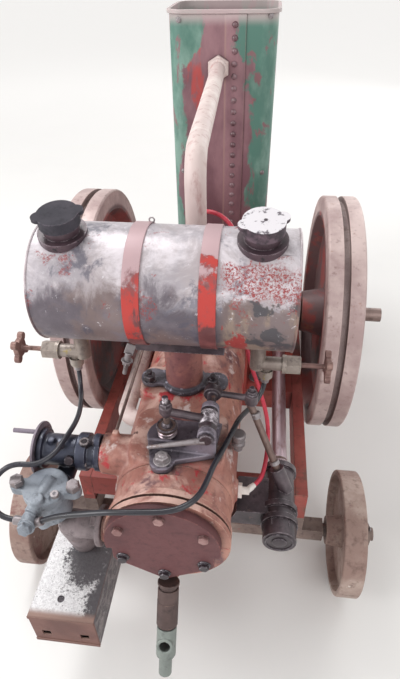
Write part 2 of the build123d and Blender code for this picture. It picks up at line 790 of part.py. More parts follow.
def make_cam_housing():
    body = bar_y(housing_front, housing_back, side_x, side_z, housing_r)
    for y in (housing_front, housing_front + 22, housing_back - housing_ring_width):
        body = body + bar_y(y, y + housing_ring_width, side_x, side_z, housing_ring_r)
    web = block(80, side_x, housing_front + 10, housing_back - 30, side_z - web_half, side_z + web_half)
    guide_end = rod_bottom + rod_dir * 22
    guide_start = rod_bottom - rod_dir * 20
    guide = bar_between(tuple(guide_start), tuple(guide_end), rod_r + guide_wall)
    body = body + web + guide
    body = body - bar_between(tuple(rod_bottom - rod_dir * 8), tuple(guide_end + rod_dir * 4), rod_r + running)
    body = body - bar_y(housing_front - 1, housing_back + 1, side_x, side_z, side_r + running)
    return body - bar_y(head_front, case_front, 0, 0, barrel_r + housing_room + seat)


nodes["cam_housing"] = make_cam_housing()
nodes["push_rod"] = bar_between(tuple(rod_bottom - rod_dir * 6), tuple(rod_top), rod_r) + \
    Pos(tuple(rod_top)) * Sphere(rod_ball_r)
nodes["side_shaft"] = bar_y(side_front + 4, side_back - 0.5, side_x, side_z, side_r) + \
    bar_y(housing_back + 1, housing_back + 12, side_x, side_z, side_r + 4)


# Round end cap of the cam housing, in front of a six-sided nut
def make_housing_cap():
    front = housing_front - seat - end_cap_length
    nut = Pos(side_x, housing_front - seat, side_z) * Rot(90, 0, 0) * extrude(RegularPolygon(end_cap_r + 1, 6), 10)
    return nut + bar_y(front, housing_front - seat, side_x, side_z, end_cap_r)


nodes["housing_cap"] = make_housing_cap()


# Spark plug on the right of the head
def make_plug():
    start = plug_seat_x + seat / 2
    nut = hex_x(start, start + plug_nut_length, plug_y, 0, plug_flats)
    ceramic = bar_x(start + plug_nut_length - 1, start + ceramic_length, plug_y, 0, ceramic_r)
    tip = Vector(*lead_route[0])
    out = (Vector(*lead_route[1]) - tip).normalized()
    boot = bar_between((start + ceramic_length - 4, plug_y, 0), tuple(tip - out * boot_r), boot_r)
    sleeve = bar_between(tuple(tip - out * (boot_r + 4)), tuple(tip - out * seat), lead_r + 0.8)
    return nut + ceramic + boot + sleeve


# Magneto on top of the crankcase
def make_magneto():
    top = case_top + magneto_height
    body = block(magneto_x0, magneto_x1, magneto_front, magneto_back, case_top + seat, top)
    body = fillet(body.edges().filter_by(Axis.Y).group_by(Axis.Z)[-1], magneto_corner)
    return body + bar_z(top - terminal_r, case_top + terminal_height, terminal_x, terminal_y, terminal_r)


# Crankshaft, straight through, with a turned stub at each end
def make_crankshaft():
    outer_left = flywheel_inner_left + flywheel_width + hub_outer_reach
    outer_right = flywheel_inner_right + flywheel_width + hub_outer_reach
    return bar_x(-outer_left - 2, outer_right + 2, 0, 0, shaft_r) + \
        bar_x(-shaft_reach, shaft_reach, 0, 0, stub_r)


nodes["crankshaft"] = make_crankshaft()


# Flywheel: solid web, hub and a wide rim with a groove round it
def make_flywheel(inner, side):
    outer = inner + flywheel_width
    middle = (inner + outer) / 2
    rim_in = flywheel_r - rim_depth
    profile = [
        (inner - hub_inner_reach, shaft_r), (inner - hub_inner_reach, hub_r), (middle - web_thickness / 2, hub_r + 10),
        (middle - web_thickness / 2, rim_in - 8), (inner, rim_in + 6), (inner, flywheel_r - 3),
        (inner + 3, flywheel_r), (middle - groove_width / 2, flywheel_r),
        (middle - groove_width / 2, flywheel_r - groove_depth), (middle + groove_width / 2, flywheel_r - groove_depth),
        (middle + groove_width / 2, flywheel_r), (outer - 3, flywheel_r), (outer, flywheel_r - 3),
        (outer, rim_in + 6), (middle + web_thickness / 2, rim_in - 8), (middle + web_thickness / 2, hub_r + 10),
        (outer + hub_outer_reach, hub_r), (outer + hub_outer_reach, shaft_r)]
    points = [(side * x, r) for x, r in profile]
    return turned_x(points, 0, 0)


nodes["flywheel_left"] = make_flywheel(flywheel_inner_left, -1)
nodes["flywheel_right"] = make_flywheel(flywheel_inner_right, 1)


# Water pipes: riser from the barrel to the cooling tank, and return low on the left
riser_points = [(riser_x, riser_y, riser_boss_top + seat), (riser_x, riser_y, riser_top),
                (outlet_x, cooler_y0 - 0.7, outlet_z)]
nodes["water_riser"] = bent_pipe(riser_points, pipe_r, pipe_bend, "water riser")
return_points = [(return_boss_x - seat, return_y, return_z), (return_x, return_y, return_z), (return_x, 200, return_z),
                 (-60, 275, return_z), (-60, cooler_y0 - seat, return_z)]
nodes["water_return"] = bent_pipe(return_points, pipe_r, [28, 60, 60], "water return")


# Trolley rails: channels, with cross-members, axles, saddles and wheels
def rail_span(side):
    outer = (flywheel_inner_right if side > 0 else flywheel_inner_left) - rail_gap
    return outer - rail_width, outer


def make_rail(side):
    inner, outer = rail_span(side)
    bottom = rail_top - rail_height
    x0, x1 = sorted((side * inner, side * outer))
    bar = block(x0, x1, rail_front, rail_back, bottom, rail_top)
    c0, c1 = sorted((side * (inner + rail_wall), side * (outer + 5)))
    cut = block(c0, c1, rail_front + rail_wall, rail_back - rail_wall, bottom + rail_wall, rail_top - rail_wall)
    return bar - cut


nodes["trolley_rails"] = make_rail(-1) + make_rail(1)


def make_cross(y0, y1, height):
    left = -rail_span(-1)[0]
    right = rail_span(1)[0]
    return block(left, right, y0, y1, rail_top - height, rail_top)


# Cross-members: one at the front, two under the crankcase and two under the cooling tank
cross = make_cross(rail_front, rail_front + front_member_depth, front_member_height)
for y in case_members_y:
    cross = cross + make_cross(y - case_member_depth / 2, y + case_member_depth / 2, front_member_height)
for y in (cooler_y0 + cooler_member_inset, cooler_y1 - cooler_member_inset):
    cross = cross + make_cross(y - cooler_member_depth / 2, y + cooler_member_depth / 2, cooler_member_height)
nodes["cross_members"] = cross


def make_axle(y):
    axle = block(-axle_square_end, axle_square_end, y - axle_side / 2, y + axle_side / 2,
                 axle_z - axle_side / 2, axle_z + axle_side / 2)
    axle = axle + bar_x(-axle_end, axle_end, y, axle_z, axle_pin_r)
    for side in (-1, 1):
        nut = hex_x(side * (wheel_hub_outer + 4), side * (wheel_hub_outer + 4 + nut_thickness), y, axle_z, 36)
        axle = axle + nut
        inner, outer = rail_span(side)
        x0, x1 = sorted((side * (inner - 2), side * outer))
        saddle_y = max(y, rail_front + saddle_half)
        saddle = block(x0, x1, saddle_y - saddle_half, saddle_y + saddle_half, axle_z + axle_side / 2,
                       rail_top - rail_height)
        axle = axle + saddle
    return axle


nodes["axles"] = make_axle(-axle_y) + make_axle(axle_y)


def make_wheel(y, side):
    middle = (wheel_inner + wheel_outer) / 2
    bore = axle_pin_r + running
    rim_in = wheel_r - wheel_rim
    profile = [
        (wheel_hub_inner, bore), (wheel_hub_inner, wheel_hub_r), (middle - wheel_web / 2, wheel_hub_r + 4),
        (middle - wheel_web / 2, rim_in - 4), (wheel_inner, rim_in), (wheel_inner, wheel_r - 2), (wheel_inner + 2, wheel_r),
        (wheel_outer - 2, wheel_r), (wheel_outer, wheel_r - 2), (wheel_outer, rim_in), (middle + wheel_web / 2, rim_in - 4),
        (middle + wheel_web / 2, wheel_hub_r + 4), (wheel_hub_outer, wheel_hub_r), (wheel_hub_outer, bore)]
    return turned_x([(side * x, r) for x, r in profile], y, axle_z)


nodes["wheel_front_left"] = make_wheel(-axle_y, -1)
nodes["wheel_front_right"] = make_wheel(-axle_y, 1)
nodes["wheel_rear_left"] = make_wheel(axle_y, -1)
nodes["wheel_rear_right"] = make_wheel(axle_y, 1)


# Cooling tank: open-topped riveted shell with a rim, and its bottom plate
def rounded(x0, x1, y0, y1, corner, height):
    outline = RectangleRounded(x1 - x0, y1 - y0, corner)
    return Pos((x0 + x1) / 2, (y0 + y1) / 2, 0) * extrude(outline, height)


def make_cooler():
    bottom = rail_top
    height = cooler_top - bottom
    outer = Pos(0, 0, bottom) * rounded(cooler_x0, cooler_x1, cooler_y0, cooler_y1, cooler_corner, height)
    w = cooler_wall
    inner = Pos(0, 0, bottom - 1) * rounded(cooler_x0 + w, cooler_x1 - w, cooler_y0 + w, cooler_y1 - w,
                                            cooler_corner - w, height + 2)
    b = rim_bead - 4
    rim = Pos(0, 0, cooler_top - cooler_rim) * rounded(cooler_x0 - b, cooler_x1 + b, cooler_y0 - b, cooler_y1 + b,
                                                       cooler_corner + b, cooler_rim)
    return outer + rim - inner


nodes["cooling_tank_shell"] = make_cooler()
w = cooler_wall + seat
nodes["cooling_tank_bottom"] = Pos(0, 0, rail_top + 12) * rounded(
    cooler_x0 + w, cooler_x1 - w, cooler_y0 + w, cooler_y1 - w, cooler_corner - w, 4)


# Drain: sloping pipe with a coupling, and a cock whose plug is missing
nodes["drain_pipe"] = bar_between(along_drain(seat / 2), along_drain(drain_pipe_length), drain_pipe_r) + \
    bar_between(along_drain(coupling_start), along_drain(coupling_end), drain_pipe_r + coupling_wall)


def make_cock():
    slope = math.radians(drain_slope)
    body = bar_between(along_drain(drain_pipe_length + seat), along_drain(cock_body_end), drain_cock_r)
    centre = Vector(*along_drain(cock_plug_at))
    across = Vector(0, -math.sin(slope), math.cos(slope))
    half = across * cock_plug_half
    barrel = bar_between(tuple(centre - half), tuple(centre + half), cock_plug_r)
    spout = bar_between(along_drain(spout_start), along_drain(drain_length), spout_r)
    body = body + barrel + spout
    body = body - bar_between(tuple(centre - 2 * half), tuple(centre + 2 * half), drain_bore_r)
    return body


nodes["drain_cock"] = make_cock()

placed = Location((0, crank_y, crank_height))
nodes["spark_plug"] = make_plug()
nodes["magneto"] = make_magneto()
nodes["fuel_hose_left"] = route_tube(left_route, hose_r, "fuel hose left")
nodes["fuel_hose_right"] = route_tube(right_route, hose_r, "fuel hose right")
nodes["ignition_lead"] = route_tube(lead_route, lead_r, "ignition lead")

os.makedirs("parts", exist_ok=True)
for name, shape in nodes.items():
    export_step(shape.moved(placed), f"parts/{name}.step")
print(len(nodes), "nodes")
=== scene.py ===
import json
import math

import bmesh
import bpy
from mathutils import Matrix, Vector
from mathutils.bvhtree import BVHTree


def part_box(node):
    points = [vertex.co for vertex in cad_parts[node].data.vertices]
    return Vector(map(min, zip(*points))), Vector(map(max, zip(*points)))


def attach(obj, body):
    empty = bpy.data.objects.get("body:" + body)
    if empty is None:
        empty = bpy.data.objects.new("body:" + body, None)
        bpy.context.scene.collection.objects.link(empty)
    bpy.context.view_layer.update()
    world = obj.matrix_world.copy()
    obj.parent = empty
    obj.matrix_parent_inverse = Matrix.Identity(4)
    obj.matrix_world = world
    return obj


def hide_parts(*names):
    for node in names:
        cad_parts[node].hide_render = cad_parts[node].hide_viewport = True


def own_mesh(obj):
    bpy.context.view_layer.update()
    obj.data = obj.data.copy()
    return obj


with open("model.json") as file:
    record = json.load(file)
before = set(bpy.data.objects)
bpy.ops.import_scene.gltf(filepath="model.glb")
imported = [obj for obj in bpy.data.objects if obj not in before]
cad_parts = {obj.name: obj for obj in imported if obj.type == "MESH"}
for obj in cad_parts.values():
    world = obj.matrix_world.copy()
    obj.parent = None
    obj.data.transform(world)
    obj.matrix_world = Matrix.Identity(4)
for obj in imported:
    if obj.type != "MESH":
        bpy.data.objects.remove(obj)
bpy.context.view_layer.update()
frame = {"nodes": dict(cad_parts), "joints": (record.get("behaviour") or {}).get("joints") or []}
nodes = frame["nodes"]
joints = {j["name"]: j for j in frame["joints"]}

# The photo's frame and the camera fitted to it, in millimetres from the crankshaft's centre and in degrees
PHOTO_HEIGHT_PX = 679
FOCAL_PX = 515
SENSOR_MM = 36.0
CAMERA_AT = (103, -969, 662)
CAMERA_PITCH = 37.9
CAMERA_YAW = -7.45
CAMERA_ROLL = -1.15

# Places that several pieces share, in millimetres from the crankshaft's centre
TANK_Y, TANK_Z = -352, 273
FLANGE_TOP = 93
STEM_X, STEM_Y = -12, -473
ROCKER_X, ROCKER_Z = 48, 128
HOUSING_X, HOUSING_Z = 159, -40
COVER_X, COVER_FRONT, COVER_Z = -4, -598, 5
OUTLET_X, OUTLET_Z = -14, 425
COOLER_FRONT = 352.2
DRAIN_Y, DRAIN_Z = -596, -92
UP, DOWN = (0, 0, 1), (0, 0, -1)
FRONT, BACK = (0, -1, 0), (0, 1, 0)
LEFT, RIGHT = (-1, 0, 0), (1, 0, 0)

crank = Vector(joints["crank_turn"]["pos_m"])


def at(x, y, z):
    """A place given in millimetres from the crankshaft's centre."""
    return crank + Vector((x, y, z)) / 1000


def rgb(r, g, b):
    """A colour as the photo shows it, 0 to 255, turned into Blender's linear values."""
    out = []
    for v in (r, g, b):
        v = v / 255
        out.append(v / 12.92 if v <= 0.04045 else ((v + 0.055) / 1.055) ** 2.4)
    return (*out, 1.0)


def add_object(name, data):
    """A new object in the scene."""
    item = bpy.data.objects.new(name, data)
    bpy.context.scene.collection.objects.link(item)
    return item


# Materials

class Finish:
    """Builds one procedural material over the object's own coordinates in metres."""

    def __init__(self, name):
        self.material = bpy.data.materials.new(name)
        self.material.use_nodes = True
        self.tree = self.material.node_tree
        self.shader = self.tree.nodes["Principled BSDF"]
        self.coords = self.node("TexCoord", {}).outputs["Object"]
        self.colour = None

    def put(self, socket, value):
        if hasattr(value, "is_output"):
            self.tree.links.new(value, socket)
        else:
            socket.default_value = value

    def node(self, kind, inputs, **settings):
        """A new node with its settings, and with its inputs set or linked."""
        node = self.tree.nodes.new("ShaderNode" + kind)
        for name, value in settings.items():
            setattr(node, name, value)
        for socket, value in inputs.items():
            self.put(node.inputs[socket], value)
        return node

    def noise(self, scale, detail=5, rough=0.6, seed=0.0, twist=0.0, stretch=(1, 1, 1)):
        shift = self.node("Mapping", {"Vector": self.coords, "Location": (seed, seed * 0.7, seed * 1.3),
                                      "Scale": stretch})
        return self.node("TexNoise", {"Vector": shift.outputs["Vector"], "Scale": scale, "Detail": detail,
                                      "Roughness": rough, "Distortion": twist}).outputs["Fac"]

    def step(self, value, low, high):
        """A smooth rise from 0 at low to 1 at high."""
        return self.node("MapRange", {"Value": value, "From Min": low, "From Max": high},
                         interpolation_type="SMOOTHSTEP").outputs["Result"]

    def calc(self, operation, a, b=0.0, c=0.0):
        return self.node("Math", {0: a, 1: b, 2: c}, operation=operation).outputs[0]

    def times(self, a, b):
        return self.calc("MULTIPLY", a, b)

    def plus(self, a, b):
        return self.calc("ADD", a, b)

    def minus(self, a, b):
        return self.calc("SUBTRACT", a, b)

    def scaled(self, value, factor, offset):
        return self.calc("MULTIPLY_ADD", value, factor, offset)

    def length(self, a, b):
        """The distance from the origin to a place given by two coordinates."""
        return self.calc("SQRT", self.plus(self.times(a, a), self.times(b, b)))

    def mix(self, share, a, b):
        """Colour a turning to b. Three numbers are a colour as the photo shows it, 0 to 255."""
        a, b = (rgb(*c) if isinstance(c, tuple) and len(c) == 3 else c for c in (a, b))
        return self.node("Mix", {"Factor": share, "A": a, "B": b}, data_type="RGBA").outputs["Result"]

    def paint(self, tint, cover, share=1.0):
        """One more coat over the colour so far, where cover is 1."""
        self.colour = self.mix(cover if share == 1 else self.times(cover, share), self.colour, tint)

    def along(self, axis):
        return self.node("SeparateXYZ", {0: self.coords}).outputs[axis]

    def normal(self):
        return self.node("NewGeometry", {}).outputs["Normal"]

    def upward(self):
        """How far the surface faces up, from -1 to 1."""
        return self.node("SeparateXYZ", {0: self.normal()}).outputs["Z"]

    def edges(self, radius=0.0025):
        """1 on outer edges, 0 on flat surfaces."""
        bevel = self.node("Bevel", {"Radius": radius}, samples=4)
        dot = self.node("VectorMath", {0: bevel.outputs["Normal"], 1: self.normal()}, operation="DOT_PRODUCT")
        return self.step(dot.outputs["Value"], 0.985, 0.86)

    def crevices(self, reach=0.02):
        """Painted shade: 1 deep in corners where ambient light is blocked, 0 on open surfaces."""
        near = self.node("AmbientOcclusion", {"Distance": reach}, samples=4)
        return self.step(near.outputs["AO"], 0.85, 0.35)

    def done(self, rough, metal=0.0, height=None, depth=0.0006, strength=0.6, coat=0.0):
        inputs = {"Base Color": self.colour, "Roughness": rough, "Metallic": metal, "Coat Weight": coat,
                  "Coat Roughness": 0.22}
        if height is not None:
            bump = self.node("Bump", {"Strength": strength, "Distance": depth, "Height": height})
            inputs["Normal"] = bump.outputs["Normal"]
        for socket, value in inputs.items():
            self.put(self.shader.inputs[socket], value)
        return self.material


def worn(name, base, light, dark, patches=(), rough=0.6, rough_patch=0.45, metal=0.0, grain=420, depth=0.0005,
         edge=None, crevice_shade=None, coat=0.0, stretch=(1, 1, 1), seed=0.0, faded_and_top_light=None):
    """A weathered surface: cloudy base colour, patches of other coats, worn edges and painted shade in the
    crevices.
    Each patch is (colour, scale, low, high): it covers where its noise passes from low to high.
    The pale colour for what faces up is weathered paint with a painted top light in it."""
    f = Finish(name)
    clouds = f.noise(9, 6, 0.65, seed, stretch=stretch)
    flecks = f.noise(70, 5, 0.7, seed + 3, stretch=stretch)
    fine = f.noise(grain, 4, 0.7, seed + 5)
    f.colour = f.mix(f.step(clouds, 0.40, 0.68), base, light)
    f.paint(dark, f.step(flecks, 0.50, 0.72), 0.75)
    # Pale colour on upward faces: weathered paint with a painted top light in it.
    if faded_and_top_light:
        spread = f.step(f.noise(13, 8, 0.66, seed + 41, 0.4, stretch), 0.44, 0.60)
        f.paint(faded_and_top_light, f.times(spread, f.step(f.upward(), 0.35, 0.95)), 0.85)
    height = f.plus(f.times(fine, 0.5), f.times(flecks, 0.8))
    roughness = f.scaled(flecks, 0.25, rough - 0.12)
    for i, (tint, scale, low, high) in enumerate(patches):
        cover = f.step(f.noise(scale, 9, 0.68, seed + 11 + 7 * i, 0.25, stretch), low, high)
        f.paint(tint, cover)
        height = f.plus(height, f.times(cover, 0.6))
        roughness = f.plus(roughness, f.times(cover, rough_patch - rough))
    # Painted shade: this colour darkens the corners and crevices.
    if crevice_shade:
        f.paint(crevice_shade, f.crevices(), 0.8)
    if edge:
        broken = f.step(f.noise(160, 5, 0.7, seed + 31), 0.42, 0.60)
        f.paint(edge, f.times(f.edges(), broken))
    return f.done(roughness, metal, height, depth, 0.6, coat)


# Colour of the painted shade in corners and crevices.
CREVICE_SHADE_TINT = (48, 36, 36)

# The castings' pale upward faces are weathered paint with a painted top light in them.
casting_paint = worn("worn_casting", (150, 98, 88), (190, 138, 122), (110, 68, 62),
    [((190, 146, 116), 16, 0.60, 0.70), ((108, 72, 76), 12, 0.55, 0.65), ((180, 54, 60), 17, 0.565, 0.63),
    ((214, 194, 190), 23, 0.575, 0.67), ((84, 56, 54), 34, 0.62, 0.70)], rough=0.5, edge=(206, 176, 158),
    crevice_shade=CREVICE_SHADE_TINT, seed=2.0, depth=0.0010, faded_and_top_light=(214, 178, 166))
red_paint = worn("red_paint", (158, 60, 54), (184, 88, 76), (122, 46, 42), [((120, 70, 60), 14, 0.62, 0.70),
    ((222, 150, 130), 30, 0.66, 0.76)], rough=0.5, edge=(120, 84, 72), crevice_shade=CREVICE_SHADE_TINT, seed=9.0)
rail_paint = worn("rail_paint", (140, 62, 56), (160, 82, 72), (104, 56, 50), [((112, 72, 60), 12, 0.56, 0.66),
    ((178, 60, 52), 24, 0.62, 0.68)], rough=0.55, edge=(112, 84, 74), crevice_shade=CREVICE_SHADE_TINT, seed=12.0)
maroon = worn("cover_paint", (84, 45, 48), (96, 54, 56), (70, 38, 42), [((66, 42, 42), 26, 0.64, 0.76)],
    rough=0.6, edge=(140, 84, 78), crevice_shade=(44, 30, 30), seed=15.0, depth=0.0008)
oily = worn("black_oily", (58, 48, 54), (98, 84, 90), (30, 26, 30), [((112, 84, 74), 40, 0.63, 0.72),
    ((150, 142, 152), 60, 0.66, 0.72)], rough=0.38, rough_patch=0.55, metal=0.25, edge=(164, 152, 158),
    crevice_shade=(16, 12, 14), seed=22.0, depth=0.0009, coat=0.25)
black_casting = worn("black_casting", (50, 53, 68), (84, 88, 108), (26, 26, 36),
    [((112, 116, 132), 34, 0.66, 0.74)], rough=0.34, metal=0.3, edge=(136, 140, 156), crevice_shade=(14, 14, 18),
    seed=25.0, coat=0.2)
neck_brown = worn("neck_brown", (72, 54, 62), (100, 78, 86), (48, 36, 44), [((164, 56, 60), 30, 0.64, 0.70),
    ((36, 30, 36), 60, 0.58, 0.66)], rough=0.4, metal=0.2, edge=(150, 136, 142), crevice_shade=(26, 20, 24),
    seed=28.0, coat=0.15)
cap_dark = worn("cap_dark", (44, 42, 50), (62, 58, 66), (28, 26, 32), [((116, 50, 54), 26, 0.64, 0.70)],
    rough=0.86, rough_patch=0.8, edge=(104, 94, 104), crevice_shade=(20, 16, 20), seed=29.0)
steel = worn("oily_steel", (168, 146, 152), (196, 180, 188), (120, 88, 84), [((112, 74, 68), 18, 0.57, 0.66)],
    rough=0.30, rough_patch=0.5, metal=0.8, edge=(206, 196, 200), stretch=(1, 0.25, 1), seed=31.0,
    depth=0.0002)
rod_brown = worn("rod_brown", (112, 92, 86), (150, 130, 124), (78, 60, 56), [((74, 56, 54), 40, 0.62, 0.72)],
    rough=0.42, metal=0.45, edge=(176, 160, 160), seed=33.0)
iron_brown = worn("rusty_iron", (142, 116, 107), (178, 158, 148), (102, 78, 72),
    [((120, 78, 72), 14, 0.54, 0.66), ((216, 206, 200), 60, 0.66, 0.71)], rough=0.6, metal=0.1,
    edge=(190, 170, 158), crevice_shade=(50, 38, 36), seed=36.0, depth=0.0010)
axle_iron = worn("axle_iron", (116, 98, 92), (144, 126, 118), (84, 66, 62), [((142, 74, 64), 22, 0.62, 0.70)],
    rough=0.6, metal=0.1, edge=(170, 150, 140), crevice_shade=(44, 36, 36), seed=38.0, depth=0.0009)
bronze = worn("old_bronze", (120, 106, 100), (158, 148, 140), (80, 66, 64), [((150, 132, 74), 30, 0.63, 0.70),
    ((66, 56, 58), 44, 0.61, 0.69)], rough=0.4, metal=0.4, edge=(180, 168, 154), crevice_shade=(50, 38, 36),
    seed=40.0)
handwheel_brown = worn("handwheel_brown", (116, 86, 82), (150, 120, 112), (82, 58, 56),
    [((90, 64, 60), 50, 0.60, 0.70)], rough=0.5, metal=0.45, edge=(186, 164, 152), crevice_shade=(50, 38, 38),
    seed=43.0)
alloy = worn("grey_alloy", (112, 118, 128), (148, 154, 162), (74, 78, 86), [((76, 76, 82), 30, 0.60, 0.68),
    ((140, 118, 104), 28, 0.67, 0.75)], rough=0.5, metal=0.25, edge=(176, 182, 188), crevice_shade=(44, 42, 48),
    seed=46.0, depth=0.0008)
cock_grey = worn("cock_grey", (118, 124, 120), (138, 146, 140), (92, 96, 94),
    [((90, 84, 76), 30, 0.64, 0.72)], rough=0.48, metal=0.25, edge=(166, 170, 166), crevice_shade=(46, 44, 44),
    seed=49.0)
shutter_grey = worn("shutter_grey", (112, 102, 114), (140, 130, 142), (74, 64, 72),
    [((126, 88, 78), 26, 0.62, 0.70)], rough=0.5, metal=0.3, edge=(150, 136, 140), crevice_shade=(36, 30, 34),
    seed=51.0, depth=0.0008)
dark_rust = worn("dark_rust", (72, 56, 54), (98, 78, 74), (46, 36, 38), [((120, 76, 62), 26, 0.62, 0.71)],
    rough=0.6, metal=0.15, edge=(140, 116, 108), crevice_shade=(28, 22, 24), seed=52.0, depth=0.0009)
pipe_paint = worn("pipe_paint", (206, 188, 184), (234, 224, 218), (172, 134, 130),
    [((178, 96, 88), 14, 0.62, 0.72)], rough=0.5, edge=(224, 206, 198), stretch=(1, 1, 0.3), seed=55.0)
nut_black = worn("black_nut", (38, 32, 38), (66, 56, 62), (24, 20, 24), [((96, 76, 72), 60, 0.64, 0.72)],
    rough=0.36, metal=0.4, edge=(150, 142, 150), seed=58.0, coat=0.2)
nut_dark = worn("dark_nut", (74, 64, 70), (110, 98, 104), (44, 36, 40), [((104, 76, 68), 50, 0.60, 0.70)],
    rough=0.36, metal=0.5, edge=(176, 168, 174), crevice_shade=(18, 14, 16), seed=59.0, coat=0.2)
bolt_brown = worn("bolt_brown", (120, 82, 80), (168, 132, 128), (88, 54, 56),
    [((196, 170, 166), 60, 0.60, 0.70)], rough=0.45, edge=(190, 160, 154), crevice_shade=(40, 26, 28), seed=60.0)
nut_grey = worn("grey_nut", (128, 120, 122), (160, 154, 156), (88, 76, 76), [((112, 82, 70), 50, 0.60, 0.70)],
    rough=0.42, metal=0.5, edge=(196, 190, 192), seed=61.0)
rivet_iron = worn("rivet_iron", (96, 66, 72), (142, 112, 118), (66, 42, 48),
    [((176, 150, 152), 60, 0.60, 0.70)], rough=0.32, edge=(190, 168, 172), crevice_shade=(40, 26, 30), seed=62.0,
    coat=0.3)
ceramic = worn("ceramic", (224, 214, 208), (236, 230, 226), (196, 180, 172), rough=0.22, seed=64.0,
    depth=0.0001)
hose_rubber = worn("hose_rubber", (32, 31, 38), (44, 43, 52), (22, 21, 26), rough=0.30, seed=67.0,
    depth=0.0001, grain=900)
lead_rubber = worn("lead_rubber", (196, 52, 72), (210, 70, 88), (160, 40, 58), rough=0.4, seed=70.0,
    depth=0.0001, grain=900)


def cap_finish():
    """Filler cap with dark brown sides, a pale top that is weathered paint with a painted top light in it, and
    painted shade in its crevices.
    """
    f = Finish("cap_bleached_and_top_light")
    clouds = f.noise(60, 7, 0.7, 2.0)
    fine = f.noise(420, 4, 0.7)
    sides = f.mix(f.step(clouds, 0.42, 0.62), (46, 36, 44), (96, 78, 88))
    # Painted top light, partly weathered paint: the upward faces turn near white with dark mottling.
    top = f.mix(f.step(f.noise(90, 8, 0.7, 6.0), 0.54, 0.62), (214, 210, 214), (90, 82, 90))
    f.colour = f.mix(f.step(f.plus(f.upward(), f.scaled(clouds, 0.4, -0.2)), 0.80, 0.90), sides, top)
    # Painted shade in the cap's crevices.
    f.paint((24, 20, 24), f.crevices(0.008), 0.8)
    return f.done(f.scaled(clouds, 0.3, 0.48), 0.0, f.plus(clouds, fine), 0.0005, 0.5)


def post_finish():
    """Rusty pillar on a flange of dark bare iron."""
    f = Finish("rusty_post")
    clouds = f.noise(14, 7, 0.65, 5.0)
    flecks = f.noise(80, 6, 0.7, 7.0)
    fine = f.noise(420, 4, 0.7)
    f.colour = f.mix(f.step(clouds, 0.36, 0.60), (116, 72, 74), (156, 102, 92))
    f.paint((88, 54, 56), f.step(flecks, 0.52, 0.70), 0.75)
    f.paint((172, 52, 54), f.step(f.noise(20, 8, 0.66, 9.0, 0.3, (1, 1, 0.6)), 0.60, 0.66))
    f.paint((172, 128, 104), f.step(f.noise(30, 8, 0.66, 12.0, 0.3), 0.62, 0.68))
    iron = f.mix(f.step(clouds, 0.42, 0.62), (62, 58, 66), (112, 107, 118))
    iron = f.mix(f.step(flecks, 0.56, 0.64), iron, (168, 166, 180))
    foot = FLANGE_TOP / 1000 + crank.z
    level = f.plus(f.along("Z"), f.scaled(clouds, 0.01, -0.005))
    f.paint(iron, f.step(level, foot + 0.005, foot + 0.001))
    # Painted shade in the corners and crevices.
    f.paint((36, 28, 32), f.crevices(), 0.8)
    f.paint((156, 132, 134), f.edges(), 0.6)
    height = f.plus(f.times(fine, 0.5), flecks)
    return f.done(f.scaled(flecks, 0.3, 0.42), 0.1, height, 0.0008, 0.6)


def tank_finish():
    """Worn galvanised steel: whitish above as a painted top light, brown-grey below, dark smears, pale scuffs,
    red speckles.
    """
    f = Finish("tank_grey")
    clouds = f.noise(10, 8, 0.64, 1.0, 0.3)
    smears = f.noise(21, 8, 0.68, 4.0, 0.5, (1, 0.7, 0.7))
    scuffs = f.noise(75, 9, 0.80, 8.0, 0.7)
    fine = f.noise(600, 3, 0.6)
    across = f.minus(f.along("X"), crank.x)
    rise = f.minus(f.along("Z"), crank.z + TANK_Z / 1000)
    wavy = f.plus(rise, f.scaled(smears, 0.14, -0.07))
    f.colour = f.mix(f.step(clouds, 0.38, 0.62), (92, 84, 92), (126, 118, 126))
    brown = f.step(f.noise(14, 7, 0.62, 23.0, 0.3), 0.44, 0.58)
    f.paint((128, 108, 102), brown, 0.6)
    # Painted top light: the upper part of the tank turns near white.
    above = f.step(wavy, 0.014, 0.046)
    thin = f.step(f.noise(17, 9, 0.72, 51.0, 0.5), 0.40, 0.62)
    f.paint((214, 207, 212), f.times(above, f.scaled(thin, 0.5, 0.42)))
    f.paint((76, 76, 92), f.step(smears, 0.54, 0.64), 0.72)
    right = f.step(across, 0.052, 0.066)
    below = f.step(wavy, 0.036, 0.026)
    lower = f.times(right, below)
    f.paint((116, 98, 94), lower, 0.65)
    tan = f.step(f.noise(26, 7, 0.62, 27.0, 0.2, (1, 1, 0.45)), 0.47, 0.55)
    f.paint((142, 124, 112), f.times(lower, f.times(tan, 0.8)))
    dark = f.step(f.noise(20, 7, 0.6, 31.0, 0.2), 0.50, 0.54)
    f.paint((66, 66, 72), f.times(lower, f.times(dark, 0.85)))
    speckle = f.noise(280, 9, 0.85, 13.0)
    even = f.plus(rise, f.scaled(clouds, 0.06, -0.03))
    band = f.times(f.step(even, 0.032, 0.040), f.step(even, 0.070, 0.062))
    field = f.times(f.times(right, band), f.step(f.noise(15, 4, 0.5, 16.0), 0.30, 0.42))
    spots = f.times(f.step(f.noise(19, 6, 0.7, 35.0, 0.3), 0.59, 0.63), 0.8)
    red = f.times(f.step(speckle, 0.48, 0.53), f.calc("MAXIMUM", field, spots))
    f.paint((148, 58, 58), red)
    drips = f.times(f.step(f.noise(24, 8, 0.66, 19.0, 0.4, (1, 0.5, 0.5)), 0.60, 0.63), right)
    f.paint((158, 50, 50), drips, 0.9)
    f.paint((214, 210, 216), f.step(scuffs, 0.60, 0.66), 0.85)
    f.paint((120, 72, 66), f.edges(), 0.7)
    rough = f.scaled(smears, 0.35, 0.24)
    height = f.plus(f.times(fine, 0.3), f.plus(scuffs, f.times(red, 0.6)))
    return f.done(rough, 0.2, height, 0.0005, 0.6)


